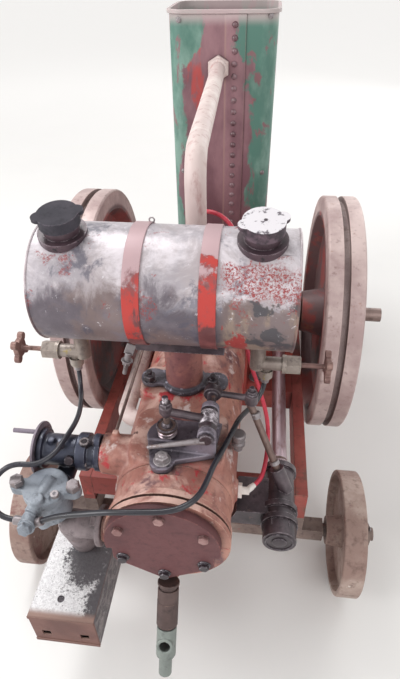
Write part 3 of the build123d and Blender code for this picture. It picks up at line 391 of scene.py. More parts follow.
def strap_finish():
    """Steel band: paler on top, ragged red paint half way down, brown primer below."""
    f = Finish("strap_paint")
    across = f.minus(f.along("X"), crank.x)
    rise = f.minus(f.along("Z"), crank.z + TANK_Z / 1000)
    level = f.scaled(across, -0.25, rise)
    ragged = f.noise(24, 9, 0.68, 3.0, 0.3, (1, 1, 0.5))
    fine = f.noise(480, 4, 0.7)
    f.colour = f.mix(f.step(f.noise(30, 6, 0.6), 0.42, 0.64), (98, 56, 58), (128, 76, 76))
    bright = f.mix(f.step(f.noise(34, 8, 0.7, 5.0, 0.3, (1, 1, 0.5)), 0.46, 0.58), (178, 58, 52), (136, 68, 68))
    wavy = f.plus(level, f.scaled(ragged, 0.16, -0.08))
    zone = f.times(f.step(wavy, -0.020, -0.010), f.step(wavy, 0.062, 0.054))
    zone = f.times(zone, f.step(f.noise(40, 8, 0.7, 15.0, 0.3, (1, 1, 0.4)), 0.43, 0.50))
    f.paint(bright, zone)
    top = f.step(wavy, 0.040, 0.066)
    f.paint((188, 160, 164), f.times(f.times(top, 0.85), f.minus(1.0, zone)))
    f.paint((84, 62, 64), f.edges(0.0015), 0.7)
    height = f.plus(f.times(fine, 0.5), f.times(zone, 0.7))
    return f.done(f.scaled(ragged, 0.3, 0.32), 0.1, height, 0.0004, 0.6)


def cooler_finish():
    """Green paint at the rounded corners, worn through to brown primer and red in the middle of each side."""
    f = Finish("cooler_green")
    low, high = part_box("cooling_tank_shell")
    middle = (low + high) / 2
    half = (high - low) / 2
    ragged = f.noise(9, 9, 0.66, 2.0, 0.5, (1, 1, 0.45))
    fine = f.noise(520, 4, 0.6)
    across = f.calc("ABSOLUTE", f.minus(f.along("X"), middle.x - 0.011))
    deep = f.calc("ABSOLUTE", f.minus(f.along("Y"), middle.y))
    side = f.calc("MINIMUM", f.calc("DIVIDE", across, half.x), f.calc("DIVIDE", deep, half.y))
    crown = f.times(f.step(f.along("Z"), high.z - 0.12, high.z - 0.06), 0.32)
    wear = f.minus(f.minus(f.scaled(ragged, 1.5, 0.10), side), crown)
    primer = f.mix(f.step(f.noise(12, 7, 0.6, 5.0, stretch=(1, 1, 0.4)), 0.42, 0.66),
                   (114, 80, 88), (144, 108, 114))
    spot = at(-64, 0, 385)
    px = f.calc("DIVIDE", f.minus(f.along("X"), spot.x), 0.022)
    pz = f.calc("DIVIDE", f.minus(f.along("Z"), spot.z), 0.075)
    near = f.length(px, pz)
    patch = f.step(f.plus(near, f.times(ragged, -3.6)), -0.95, -1.35)
    patch = f.times(patch, f.step(f.noise(34, 8, 0.7, 33.0, 0.3, (1, 1, 0.3)), 0.42, 0.54))
    red = f.calc("MAXIMUM", patch, f.step(f.noise(9, 8, 0.62, 8.0, 0.3, (1, 1, 0.4)), 0.60, 0.67))
    primer = f.mix(f.times(red, 0.8), primer, (182, 70, 64))
    green = f.mix(f.step(f.noise(14, 8, 0.6, 11.0, stretch=(1, 1, 0.5)), 0.42, 0.66),
                  (78, 118, 106), (122, 154, 142))
    green = f.mix(f.step(f.noise(24, 8, 0.66, 21.0, 0.4, (1, 1, 0.4)), 0.57, 0.63), green, (128, 92, 96))
    f.colour = f.mix(f.step(wear, 0.15, 0.22), green, primer)
    scratches = f.step(f.noise(60, 8, 0.75, 14.0, 0.2, (1, 1, 0.12)), 0.66, 0.72)
    f.paint((176, 140, 136), scratches, 0.6)
    f.paint((150, 118, 112), f.edges(0.004), 0.7)
    top = f.step(f.along("Z"), high.z - 0.035, high.z - 0.008)
    f.paint((190, 172, 172), top, 0.8)
    # Painted shade in the corners and along the lap and rivets.
    f.paint((44, 28, 32), f.crevices(0.012), 0.85)
    height = f.plus(f.times(fine, 0.4), f.times(ragged, 0.9))
    return f.done(f.scaled(ragged, 0.25, 0.38), 0.0, height, 0.0006, 0.5)


def flywheel_finish():
    """Grey-brown rim polished by use, with red paint left on the web and fine rings round the axle."""
    f = Finish("flywheel_iron")
    y = f.minus(f.along("Y"), crank.y)
    z = f.minus(f.along("Z"), crank.z)
    radius = f.length(y, z)
    centred = f.node("VectorMath", {0: f.coords, 1: crank}, operation="SUBTRACT")
    rings = f.node("TexWave", {"Vector": centred.outputs["Vector"], "Scale": 160, "Distortion": 2.0},
                   wave_type="RINGS", rings_direction="X")
    clouds = f.noise(8, 7, 0.62, 3.0)
    flecks = f.noise(85, 7, 0.72, 6.0)
    f.colour = f.mix(f.step(clouds, 0.38, 0.66), (168, 144, 142), (206, 186, 182))
    f.paint((118, 88, 86), f.step(flecks, 0.54, 0.70), 0.6)
    inside = f.step(radius, 0.222, 0.214)
    worn_web = f.step(f.noise(10, 8, 0.62, 9.0, 0.3), 0.46, 0.56)
    web = f.mix(worn_web, (100, 76, 78), (150, 62, 58))
    f.paint(web, inside, 0.92)
    rust = f.step(f.noise(26, 8, 0.7, 12.0), 0.60, 0.70)
    f.paint((152, 108, 90), rust, 0.7)
    f.paint((206, 182, 172), f.edges(0.003), 0.75)
    # Painted shade in the corners between rim, web and hub.
    f.paint((56, 40, 42), f.crevices(0.03), 0.6)
    height = f.plus(f.times(rings.outputs["Fac"], 0.25), f.plus(flecks, f.times(clouds, 0.8)))
    return f.done(f.scaled(flecks, 0.3, 0.36), 0.2, height, 0.0005, 0.5)


def silencer_finish():
    """Sheet box: pale on top from weathering and a painted top light, soot by the elbow and one edge, brown
    paint on the front.
    """
    f = Finish("silencer_sheet")
    low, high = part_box("silencer")
    fine = f.noise(420, 5, 0.7)
    mottle = f.noise(48, 9, 0.78, 3.0, 0.5)
    crust = f.noise(210, 9, 0.85, 9.0)
    brown = f.mix(f.step(f.noise(14, 6, 0.6), 0.40, 0.66), (96, 62, 56), (116, 80, 72))
    grey = f.mix(f.step(mottle, 0.44, 0.60), (84, 78, 82), (134, 126, 126))
    grey = f.mix(f.times(f.step(crust, 0.56, 0.62), 0.8), grey, (190, 184, 186))
    # Painted top light, partly weathered sheet: the upward faces turn near white, the sides stay grey.
    top = f.step(f.upward(), 0.5, 0.8)
    front = f.step(f.along("Y"), low.y + 0.016, low.y + 0.004)
    bleached_and_top_light = f.mix(f.step(crust, 0.46, 0.52), (206, 204, 206), (238, 237, 238))
    grain = f.plus(f.times(mottle, 0.10), f.times(crust, 0.08))
    elbow = at(-140, -552, 0)
    dx = f.minus(f.along("X"), elbow.x)
    dy = f.times(f.minus(f.along("Y"), elbow.y), 0.8)
    away = f.length(dx, dy)
    soot = f.step(f.plus(away, grain), 0.135, 0.122)
    verge = f.step(f.plus(f.minus(high.x, f.along("X")), grain), 0.116, 0.104)
    soot = f.calc("MAXIMUM", soot, verge)
    specks = f.times(f.step(f.plus(crust, f.times(mottle, 0.5)), 0.82, 0.86), 0.8)
    bleached_and_top_light = f.mix(f.calc("MAXIMUM", f.times(soot, 0.92), specks), bleached_and_top_light, (52, 46, 52))
    bleached_and_top_light = f.mix(front, bleached_and_top_light, (150, 122, 112))
    facing = f.step(f.along("Y"), low.y + 0.0035, low.y + 0.0015)
    f.colour = f.mix(top, f.mix(facing, grey, brown), bleached_and_top_light)
    f.paint((112, 80, 72), f.edges(0.003), 0.7)
    height = f.plus(f.times(fine, 0.5), f.plus(mottle, crust))
    return f.done(0.62, 0.05, height, 0.0009, 0.6)


elbow_soot = worn("sooty_elbow", (120, 108, 110), (158, 146, 148), (70, 62, 64),
    [((134, 94, 80), 28, 0.60, 0.69), ((206, 196, 194), 40, 0.66, 0.74), ((44, 38, 42), 52, 0.62, 0.70)],
    rough=0.7, metal=0.1, edge=(170, 158, 154), crevice_shade=(36, 30, 32), seed=73.0, depth=0.0014)
cap_bleached_and_top_light = cap_finish()
plate_grey = worn("plate_grey", (92, 84, 94), (140, 132, 144), (48, 42, 50), [((36, 30, 36), 30, 0.56, 0.66),
    ((190, 184, 196), 90, 0.64, 0.70)], rough=0.42, metal=0.25, edge=(170, 162, 172), crevice_shade=(16, 12, 16),
    seed=80.0, depth=0.0010, coat=0.2)
post_paint = post_finish()
tank_grey = tank_finish()
strap_paint = strap_finish()
cooler_green = cooler_finish()
flywheel_iron = flywheel_finish()
silencer_sheet = silencer_finish()

NODE_FINISHES = {
    "crankcase gear_case": red_paint,
    "cylinder_barrel cylinder_head": casting_paint,
    "head_cover": maroon,
    "tank_post": post_paint,
    "tank_cradle rocker cam_housing housing_cap": oily,
    "fuel_tank_shell fuel_tank_ends": tank_grey,
    "tank_straps": strap_paint,
    "filler_necks": neck_brown,
    "filler_cap_left": cap_dark,
    "filler_cap_right": cap_bleached_and_top_light,
    "fuel_valves": bronze,
    "valve_handwheel_left valve_handwheel_right": handwheel_brown,
    "carburettor magneto": black_casting,
    "air_shutter": shutter_grey,
    "float_chamber": alloy,
    "exhaust_elbow": elbow_soot,
    "silencer": silencer_sheet,
    "rocker_bracket": plate_grey,
    "valve_stem push_rod crankshaft governor_rod": rod_brown,
    "valve_spring side_shaft": steel,
    "spark_plug": ceramic,
    "flywheel_left flywheel_right": flywheel_iron,
    "water_riser water_return": pipe_paint,
    "trolley_rails cross_members": rail_paint,
    "axles": axle_iron,
    "wheel_front_left wheel_front_right wheel_rear_left wheel_rear_right": iron_brown,
    "cooling_tank_shell": cooler_green,
    "cooling_tank_bottom drain_pipe": dark_rust,
    "drain_cock": cock_grey,
    "fuel_hose_left fuel_hose_right": hose_rubber,
    "ignition_lead": lead_rubber,
}
finishes = {name: finish for names, finish in NODE_FINISHES.items() for name in names.split()}
for name, node in nodes.items():
    node.data.materials.clear()
    node.data.materials.append(finishes[name])


# Building blocks for the small pieces

def square_to(axis):
    """The axis as a unit vector, and two more that are square to it."""
    axis = Vector(axis).normalized()
    upward = Vector((0, 0, 1)) if abs(axis.z) < 0.9 else Vector((0, 1, 0))
    side = (upward - axis * upward.dot(axis)).normalized()
    return axis, side, axis.cross(side)


class Piece:
    """One new piece, built of turned, flat and wire forms in millimetres from the crankshaft's centre."""

    def __init__(self, name):
        self.name = name
        self.mesh = bmesh.new()

    def loop(self, centre, side, other, radius, sides, spin):
        points = []
        for i in range(sides):
            a = 2 * math.pi * i / sides + spin
            way = side * math.cos(a) + other * math.sin(a)
            points.append(self.mesh.verts.new(centre + way * radius / 1000))
        return points

    def skin(self, loops, closed=False):
        """Faces between rings of points; the ends are capped unless the row of rings is closed."""
        count = len(loops)
        for k in range(count if closed else count - 1):
            a, b = loops[k], loops[(k + 1) % count]
            for i in range(len(a)):
                j = (i + 1) % len(a)
                self.mesh.faces.new((a[i], a[j], b[j], b[i]))
        if not closed:
            self.mesh.faces.new(list(reversed(loops[0])))
            self.mesh.faces.new(loops[-1])

    def turn(self, start, axis, profile, sides=32, spin=0.0):
        """A form turned about an axis; the profile is pairs of distance along the axis and radius."""
        axis, side, other = square_to(axis)
        base = at(*start)
        self.skin([self.loop(base + axis * along / 1000, side, other, radius, sides, spin)
                   for along, radius in profile])

    def ring(self, centre, axis, radius, wire, sides=40, section=10, start=0.0, sweep=2 * math.pi):
        """A round wire bent to a ring, or to part of one."""
        axis, side, other = square_to(axis)
        base = at(*centre)
        loops = []
        whole = sweep > 2 * math.pi - 0.001
        for k in range(sides if whole else sides + 1):
            a = start + sweep * k / sides
            out = side * math.cos(a) + other * math.sin(a)
            loops.append(self.loop(base + out * radius / 1000, out, axis, wire, section, 0.0))
        self.skin(loops, whole)

    def wire(self, points, radius, section=10):
        """A round wire through the given places."""
        path = [at(*p) for p in points]
        loops = []
        side = None
        for i, place in enumerate(path):
            way = (path[min(i + 1, len(path) - 1)] - path[max(i - 1, 0)]).normalized()
            if side is None:
                side = way.orthogonal().normalized()
            side = (side - way * side.dot(way)).normalized()
            loops.append(self.loop(place, side, way.cross(side), radius, section, 0.0))
        self.skin(loops)

    def slab(self, outline, low, high):
        """A flat outline in X and Y, raised from one height to another."""
        self.skin([[self.mesh.verts.new(at(x, y, z)) for x, y in outline] for z in (low, high)])

    def beam(self, a, b, width, height, up=(0, 0, 1)):
        """A straight bar of rectangular section from one place to another."""
        a, b = at(*a), at(*b)
        way = (b - a).normalized()
        side = way.cross(Vector(up)).normalized() * width / 2000
        top = side.cross(way).normalized() * height / 2000
        corners = (side + top, top - side, -side - top, side - top)
        self.skin([[self.mesh.verts.new(end + p) for p in corners] for end in (a, b)])

    def bolt(self, place, axis, across, height, washer=0.0, stud=0.0, spin=0.0):
        """A six-sided head or nut with its washer, and the end of its stud."""
        r = across / 2 / math.cos(math.radians(30))
        base = 0.0
        if washer:
            self.turn(place, axis, [(-0.6, washer), (1.2, washer), (1.7, washer - 0.6)], 28)
            base = 1.6
        self.turn(place, axis, [(base - 0.6, r), (base + height * 0.84, r), (base + height, r * 0.86)], 6, spin)
        if stud:
            top = base + height
            tip = top + stud * 1.5
            self.turn(place, axis, [(top - 1, stud), (tip, stud), (tip + 0.8, stud - 0.9)], 18)

    def done(self, finish, slot, body="engine", bevel=0.0004, flat_angle=34):
        bmesh.ops.recalc_face_normals(self.mesh, faces=self.mesh.faces)
        mesh = bpy.data.meshes.new(self.name)
        self.mesh.to_mesh(mesh)
        self.mesh.free()
        for polygon in mesh.polygons:
            polygon.use_smooth = True
        mesh.set_sharp_from_angle(angle=math.radians(flat_angle))
        mesh.materials.append(finish)
        piece = add_object(self.name, mesh)
        if bevel:
            soften = piece.modifiers.new("bevel", "BEVEL")
            soften.width = bevel
            soften.segments = 2
            soften.limit_method = "ANGLE"
            soften.angle_limit = math.radians(40)
        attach(piece, body)
        return piece


def onto(name, start, way):
    """The place where a ray meets a CAD node, in millimetres from the crankshaft's centre."""
    mesh = nodes[name].data
    tree = BVHTree.FromPolygons([nodes[name].matrix_world @ v.co for v in mesh.vertices],
                                [tuple(p.vertices) for p in mesh.polygons])
    place = tree.ray_cast(at(*start), Vector(way))[0]
    return tuple((place - crank) * 1000)


# The bodies of the castings that move; the others ride on the engine
MOVING = {"rocker": "rocker", "valve_handwheel_left": "tap_left", "valve_handwheel_right": "tap_right"}


def cast_copy(name, voxel, rounds, slot, extra=None, bore=None):
    """A copy of a CAD node with its joints run together like a casting's, which stands for the node.
    A bore, given as X, Z and radius in millimetres, keeps room for the shaft that turns in it."""
    mesh = nodes[name].data.copy()
    if extra:
        build = bmesh.new()
        build.from_mesh(mesh)
        added = bpy.data.meshes.new("added")
        extra.mesh.to_mesh(added)
        extra.mesh.free()
        build.from_mesh(added)
        build.to_mesh(mesh)
        build.free()
    rough = add_object(name + "_rough", mesh)
    remesh = rough.modifiers.new("remesh", "REMESH")
    remesh.mode = "VOXEL"
    remesh.voxel_size = voxel
    smooth = rough.modifiers.new("smooth", "SMOOTH")
    smooth.factor = 0.5
    smooth.iterations = rounds
    ready = rough.evaluated_get(bpy.context.evaluated_depsgraph_get())
    final = bpy.data.meshes.new_from_object(ready)
    bpy.data.objects.remove(rough)
    if bore:
        centre = at(bore[0], 0, bore[1])
        for vertex in final.vertices:
            out = Vector((vertex.co.x - centre.x, 0, vertex.co.z - centre.z))
            if 0 < out.length < bore[2] / 1000:
                vertex.co += out * (bore[2] / 1000 / out.length - 1)
    for polygon in final.polygons:
        polygon.use_smooth = True
    final.materials.clear()
    final.materials.append(finishes[name])
    piece = add_object(name + "_casting", final)
    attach(piece, MOVING.get(name, "engine"))
    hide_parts(name)


# Fuel hoses and ignition lead

LEFT_ROUTE = [
    (-182, -352, 108.8), (-181, -355, 92), (-179, -365, 77), (-174, -380, 69), (-168, -402, 69),
    (-163, -428, 72), (-162, -452, 75), (-166, -484, 78), (-173, -512, 76), (-195, -530, 71),
    (-228, -531, 72), (-249, -542, 61), (-257, -560, 47), (-249, -578, 33), (-230, -590, 25),
    (-206, -590, 24)]
RIGHT_ROUTE = [
    (-180, -590, 24), (-166, -590, 33), (-150, -591, 44), (-128, -594, 56), (-100, -598, 70),
    (-66, -601, 83), (-26, -602, 91), (8, -602, 97), (31, -595, 101), (47, -578, 102), (54, -551, 98),
    (60, -520, 94), (71, -488, 91), (81, -454, 90), (88, -428, 87), (96, -404, 78), (107, -384, 73),
    (117, -369, 78), (124, -357, 91), (126, -352, 108.8)]
LEAD_ROUTE = [
    (118, -478, 0), (127, -468, 0), (133, -446, 1), (137, -412, 8), (136, -372, 30), (122, -330, 52),
    (100, -290, 84), (86, -258, 130), (84, -240, 190), (80, -232, 255), (64, -220, 300), (38, -200, 316),
    (6, -178, 310), (-16, -152, 284), (-28, -120, 246), (-31, -88, 212), (-30, -75, 162.3)]


def cord(name, route, radius, node):
    curve = bpy.data.curves.new(name, "CURVE")
    curve.dimensions = "3D"
    curve.bevel_depth = radius
    curve.bevel_resolution = 5
    curve.resolution_u = 14
    curve.use_fill_caps = True
    spline = curve.splines.new("NURBS")
    spline.points.add(len(route) - 1)
    for point, place in zip(spline.points, route):
        point.co = (*at(*place), 1)
    spline.order_u = 3
    spline.use_endpoint_u = True
    curve.materials.append(finishes[node])
    piece = add_object(name, curve)
    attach(piece, "engine")
    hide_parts(node)


cord("hose_left", LEFT_ROUTE, 0.004, "fuel_hose_left")
cord("hose_right", RIGHT_ROUTE, 0.004, "fuel_hose_right")
cord("plug_lead", LEAD_ROUTE, 0.0035, "ignition_lead")

# Castings whose joints run together

ridge = Piece("chamber_ridge")
ridge.turn((-178, -528, 43), (-13, -54, -10), [(0, 8.5), (57, 9.5)], 24)
ridge.turn((-161, -560, 40), UP, [(0, 8), (6, 7.5), (6.5, 6.5)], 20)
for name, voxel, rounds, slot, more in (
        ("cylinder_barrel", 0.0026, 7, "rusty_casting", {}),
        ("tank_post", 0.0018, 4, "rusty_casting", {}),
        ("float_chamber", 0.0013, 4, "grey_alloy", {"extra": ridge}),
        ("exhaust_elbow", 0.0018, 6, "soot", {}),
        ("rocker_bracket", 0.0011, 3, "dark_oily", {"bore": (ROCKER_X, ROCKER_Z, 7.9)}),
        ("rocker", 0.0011, 3, "dark_oily", {}),
        ("carburettor", 0.0014, 3, "dark_oily", {}),
        ("valve_handwheel_left", 0.0010, 5, "bronze", {}),
        ("valve_handwheel_right", 0.0010, 5, "bronze", {}),
        ("drain_cock", 0.0013, 3, "grey_alloy", {}),
        ("crankcase", 0.0040, 4, "red_paint", {})):
    cast_copy(name, voxel, rounds, slot, **more)

# Cooling tank: rivets, the sheet's lap, small bolts, the outlet's collar and a small plug

RIVET_TOP, RIVET_PITCH, RIVET_COUNT = 511.1, 25.9, 24
rivets = Piece("cooler_rivets")
for k in range(RIVET_COUNT):
    rivets.turn((23, COOLER_FRONT, RIVET_TOP - RIVET_PITCH * k), FRONT,
                [(0, 7.3), (2.2, 7.0), (4.4, 5.2), (5.8, 2.2)], 20)
rivets.done(rivet_iron, "cooler_green", bevel=0)
lap = Piece("cooler_lap")
lap.slab([(-2, COOLER_FRONT), (4, 351.2), (10, 350.1), (47, 349.6), (47.8, 350.0), (47.8, COOLER_FRONT)],
         -96, 531)
lap.done(cooler_green, "cooler_green", bevel=0.0003)
small = Piece("cooler_bolts")
for x, z in ((-104, 520), (100, 527), (-104, 182), (100, 182)):
    small.bolt(onto("cooling_tank_shell", (x, 300, z), BACK), FRONT, 8, 4, 6)
small.done(nut_grey, "cooler_green")
collar = Piece("outlet_collar")
collar.turn((OUTLET_X, 353, OUTLET_Z), FRONT, [(0, 27), (9, 27), (12, 24.5)], 6)
collar.turn((OUTLET_X, 342, OUTLET_Z), FRONT, [(0, 21.5), (7, 21.5), (8.5, 19.5), (10, 18.5)], 32)
collar.done(pipe_paint, "pipe_paint", bevel=0.001)
lower_collar = Piece("return_collar")
lower_collar.turn(onto("cooling_tank_shell", (-60, 300, -60), BACK), FRONT, [(-1, 6), (3, 6), (4, 5)], 6)
lower_collar.done(nut_grey, "cooler_green")

# Fuel tank: end seams, dark seams beside the straps, strap clamp and small fittings

seams = Piece("tank_seams")
for x in (-196, 157):
    seams.ring((x, TANK_Y, TANK_Z), RIGHT, 84.6, 1.8, 72, 8)
seams.done(tank_grey, "tank_grey", bevel=0)
strap_gaps = Piece("strap_edges")
for x in (-55.6, 43.4):
    strap_gaps.ring((x, TANK_Y, TANK_Z), LEFT, 85.9, 0.9, 80, 6, math.radians(-40), math.radians(215))
strap_gaps.done(nut_black, "dark_oily", bevel=0)
clamp = Piece("strap_clamp")
clamp_way = (-4, -3, -17)
clamp.turn((-91.5, -356, 146), clamp_way, [(0, 5.5), (14, 5.5), (14.6, 5)], 16)
clamp.turn((-94.8, -358.4, 132.5), clamp_way, [(0, 9.5), (2.2, 9.5), (2.8, 9)], 28)
clamp.bolt((-95.6, -359, 129.4), clamp_way, 12, 6)
clamp.turn((-97.0, -360, 123.5), clamp_way, [(0, 3.6), (17, 3.6), (18, 2.8)], 16)
clamp.beam((-86, -353, 160), (-92.5, -356, 143), 15, 3, (0, 1, 0))
clamp.done(nut_grey, "steel")
eye = Piece("tank_eye")
eye.turn((-46, -318, 350), UP, [(-3, 2.2), (3, 2.2)], 12)
eye.ring((-46, -318, 356), FRONT, 3.6, 1.1, 20, 8)
eye.done(nut_grey, "steel", bevel=0)
vent = Piece("cap_vent")
lean = (0, -math.sin(math.radians(12)), math.cos(math.radians(12)))
vent.turn(onto("filler_cap_right", (110, -376, 460), DOWN), lean, [(-1, 2.6), (0.3, 2.6)], 16)
vent.done(nut_black, "dark_oily", "cap_right", bevel=0)

# Post studs, valve gear fittings and the coil spring

post_nuts = Piece("post_nuts")
for x in (-60.6, 42.9):
    post_nuts.bolt(onto("tank_post", (x, -359, 130), DOWN), UP, 17, 11, 11.5, 4.6, 0.2)
post_nuts.done(nut_black, "dark_oily", bevel=0.0006)
lobe_bolt = Piece("lobe_bolt")
lobe_bolt.bolt((-12, -520, 94), UP, 17, 9, 12.5, 0, 0.3)
lobe_bolt.turn((-12, -520, 104.5), UP, [(-1, 4.6), (0.5, 4.4), (0.9, 3.6)], 20)
lobe_bolt.done(nut_grey, "steel", bevel=0.0006)
rib = Piece("bracket_rib")
rib_way = (-81, -6, -17)
rib.turn((46, -505, 124), rib_way, [(0, 5.2), (12, 4.6), (60, 3.2), (80, 2.8), (82, 1.8)], 18)
rib.done(nut_grey, "steel", bevel=0)
screw = Piece("adjuster_screw")
screw.bolt((STEM_X, STEM_Y, 153), UP, 15, 6, 0, 0, 0.2)
screw.turn((STEM_X, STEM_Y, 158), UP, [(k * 0.625, 4.6 if k % 2 else 4.0) for k in range(19)], 20)
screw.done(nut_dark, "steel", "rocker", bevel=0)
boss_rings = Piece("boss_rings")
boss_rings.turn((ROCKER_X, -484, ROCKER_Z), BACK, [(k * 1.1, 13.2 if k % 2 else 12.2) for k in range(22)], 36)
boss_rings.turn((ROCKER_X, -503.5, ROCKER_Z), FRONT, [(0, 9.5), (5, 9.5), (6, 8.4)], 30)
boss_rings.done(nut_dark, "steel", "rocker", bevel=0)
lever_bolts = Piece("lever_bolts")
lever_bolts.bolt((106, -415, 131), UP, 13, 5, 8, 4, 0.1)
lever_bolts.done(nut_dark, "steel", "rocker")
retainer = Piece("spring_retainer")
retainer.ring((STEM_X, STEM_Y, 113.6), UP, 13.8, 1.6, 36, 8)
retainer.turn((STEM_X, STEM_Y, 113.8), UP, [(0, 8.6), (3, 8), (5.5, 6), (6.2, 5.2)], 28)
retainer.done(nut_dark, "steel", "valve", bevel=0)
coil = Piece("coil_spring")
COIL_TURNS, COIL_STEPS, COIL_R, COIL_LOW, COIL_RISE = 3.5, 110, 12.4, 96.2, 10.7
angles = [2 * math.pi * COIL_TURNS * k / COIL_STEPS for k in range(COIL_STEPS + 1)]
coil.wire([(STEM_X + COIL_R * math.cos(a), STEM_Y + COIL_R * math.sin(a), COIL_LOW + COIL_RISE * k / COIL_STEPS)
           for k, a in enumerate(angles)], 1.7)
spring = coil.done(steel, "steel", bevel=0)
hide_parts("valve_spring")
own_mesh(spring)

# Head cover bolts: plain ones above, dark nuts on washers below

COVER_BOLT_R = 67
cover_bolts = Piece("cover_bolts")
lower_bolts = Piece("cover_nuts")
for i in range(6):
    a = math.radians(30 + 60 * i)
    place = (COVER_X + COVER_BOLT_R * math.cos(a), COVER_FRONT, COVER_Z + COVER_BOLT_R * math.sin(a))
    target, washer = (cover_bolts, 0) if place[2] > COVER_Z else (lower_bolts, 9.5)
    target.bolt(place, FRONT, 13, 6, washer, 0, 0.3 * i)
cover_bolts.done(bolt_brown, "cover_brown", bevel=0.0007)
lower_bolts.done(nut_black, "dark_oily", bevel=0.0007)

# Carburettor, float chamber and hose fittings

carb_bolts = Piece("carburettor_bolts")
for z in (72, 18):
    carb_bolts.bolt((-122, -477, z), LEFT, 14, 8, 10, 0, 0.2)
carb_bolts.turn((-137, -483, 66), UP, [(0, 8), (8, 8), (9, 7.2)], 24)
carb_bolts.turn((-174, -487, 62), UP, [(0, 7), (6, 7), (7, 6)], 6)
carb_bolts.turn((-160, -497, 50), (0.3, -1, 0.5), [(0, 7), (10, 7), (11, 6)], 20)
carb_bolts.done(nut_black, "dark_oily", bevel=0.0006)
carb_rings = Piece("carburettor_rings")
carb_rings.ring((-137, -483, 75.2), UP, 6.0, 1.5, 28, 8)
carb_rings.turn((-150, -499, 46), (1, -0.2, 0), [(0, 3), (17, 3), (17.6, 2.4)], 14)
carb_rings.done(nut_grey, "steel", bevel=0)
chamber_bolts = Piece("chamber_bolts")
for x, y in ((-224, -543), (-140, -543)):
    chamber_bolts.bolt((x, y, 43), UP, 18, 11, 0, 0, 0.25)
chamber_bolts.turn((-161, -560, 46), UP, [(0, 6.2), (5, 6.2), (5.6, 5.6)], 24)
chamber_bolts.done(nut_grey, "grey_alloy", bevel=0.0008)
chamber_hole = Piece("chamber_screw")
chamber_hole.turn((-161, -560, 51.2), UP, [(0, 3), (0.7, 3)], 6)
chamber_hole.done(nut_black, "dark_oily", bevel=0)
banjo = Piece("banjo_bolt")
banjo.bolt((-193, -598, 24), (0, -0.93, 0.36), 18, 9, 12.5, 0, 0.2)
banjo.done(alloy, "grey_alloy", bevel=0.0008)
sleeves = Piece("hose_sleeves")
sleeves.turn((-180.5, -590, 23.7), (14, 0, 9), [(-9, 6.6), (9, 6.4), (9.8, 5.6)], 26)
sleeves.turn((-205.5, -590, 24), (-24, 0, 1), [(-8, 6.6), (8, 6.4), (8.8, 5.6)], 26)
sleeves.turn((-182, -352, 110), (1, -3, -17), [(-6, 7), (8, 6.6), (9, 5.6)], 24)
sleeves.turn((126, -352, 110), (-2, -5, -18), [(-6, 7), (8, 6.6), (9, 5.6)], 24)
sleeves.done(nut_grey, "steel", bevel=0.0004)

# Exhaust: flange bolts, and the silencer's hole and lips

flange_bolts = Piece("exhaust_bolts")
for y, z in ((-554, -22), (-534, -63)):
    flange_bolts.turn((-113, y, z), LEFT, [(-1, 9.5), (7, 9.5), (8, 8.4)], 4, 0.5)
flange_bolts.done(elbow_soot, "soot", bevel=0.0007)
top_hole = Piece("silencer_top_hole")
top_hole.ring((-167, -618, -136.8), UP, 4.6, 0.9, 24, 8)
top_hole.turn((-167, -618, -137.6), UP, [(0, 4.4), (0.8, 4.4)], 20)
top_hole.done(nut_black, "soot", bevel=0)
lips = Piece("silencer_lips")
lips.beam((-210.5, -648.6, -140.5), (-106.5, -648.6, -140.5), 1.6, 7)
lips.beam((-210.5, -648.6, -212.5), (-106.5, -648.6, -212.5), 1.6, 7)
lips.done(silencer_sheet, "soot", bevel=0.0008)

# Cam housing, push-rod and side shaft fittings, and the oil cup

housing_rings = Piece("housing_rings")
housing_rings.ring((HOUSING_X, -545.6, HOUSING_Z), FRONT, 20, 1.4, 48, 8)
housing_rings.turn((HOUSING_X, -545, HOUSING_Z), FRONT, [(-1, 11), (1.6, 11), (2.6, 9.5), (3.2, 5)], 32)
housing_rings.done(nut_black, "dark_oily", bevel=0)
collars = Piece("rod_collars")
rod = Vector((-54, 45, 119))
foot = Vector((160, -460, -6))
collars.turn(foot + rod.normalized() * 30, rod, [(0, 7.5), (5, 7.5), (6, 6.8)], 26)
collars.turn(foot + rod.normalized() * 112, rod, [(0, 6.6), (8, 7.4), (9, 6.6)], 26)
collars.done(nut_grey, "steel", "push_rod", bevel=0)
shaft_collar = Piece("side_shaft_collar")
shaft_collar.turn((HOUSING_X, -412, HOUSING_Z), BACK, [(0, 17), (9, 17), (10, 16)], 34)
shaft_collar.turn((HOUSING_X, -400, HOUSING_Z), BACK, [(-3, 14.2), (4, 14.2), (5, 13.4)], 34)
shaft_collar.done(rod_brown, "steel", "side_shaft", bevel=0)
cup = Piece("oil_cup")
cup.turn((90, -443, 40), UP, [(0, 7), (10, 7), (11, 10.5), (17, 10.5), (18, 8.5), (24, 8.5), (25, 10.8),
                              (33, 10.8), (34.5, 9)], 28)
cup.done(nut_grey, "steel", bevel=0.0005)

# Drain: couplings and rings

DRAIN_SLOPE = math.radians(60)
drain_way = (0, -math.cos(DRAIN_SLOPE), -math.sin(DRAIN_SLOPE))


def down_drain(distance):
    return (0, DRAIN_Y + distance * drain_way[1], DRAIN_Z + distance * drain_way[2])


coupling = Piece("drain_coupling")
coupling.turn(down_drain(-2), drain_way, [(0, 16.5), (4, 16.5), (5, 15)], 34)
coupling.turn(down_drain(8), drain_way, [(0, 15), (2, 15.8), (22, 15.8), (24, 15)], 34)
coupling.done(dark_rust, "rusty_casting", bevel=0.0006)
coupling_rings = Piece("drain_rings")
coupling_rings.ring(down_drain(36), drain_way, 14.2, 1.7, 36, 8)
coupling_rings.ring(down_drain(41), drain_way, 13.4, 1.5, 36, 8)
coupling_rings.done(nut_grey, "rusty_casting", bevel=0)

# Axle nuts' cotter pins, flywheel keys and the crankcase's bolts

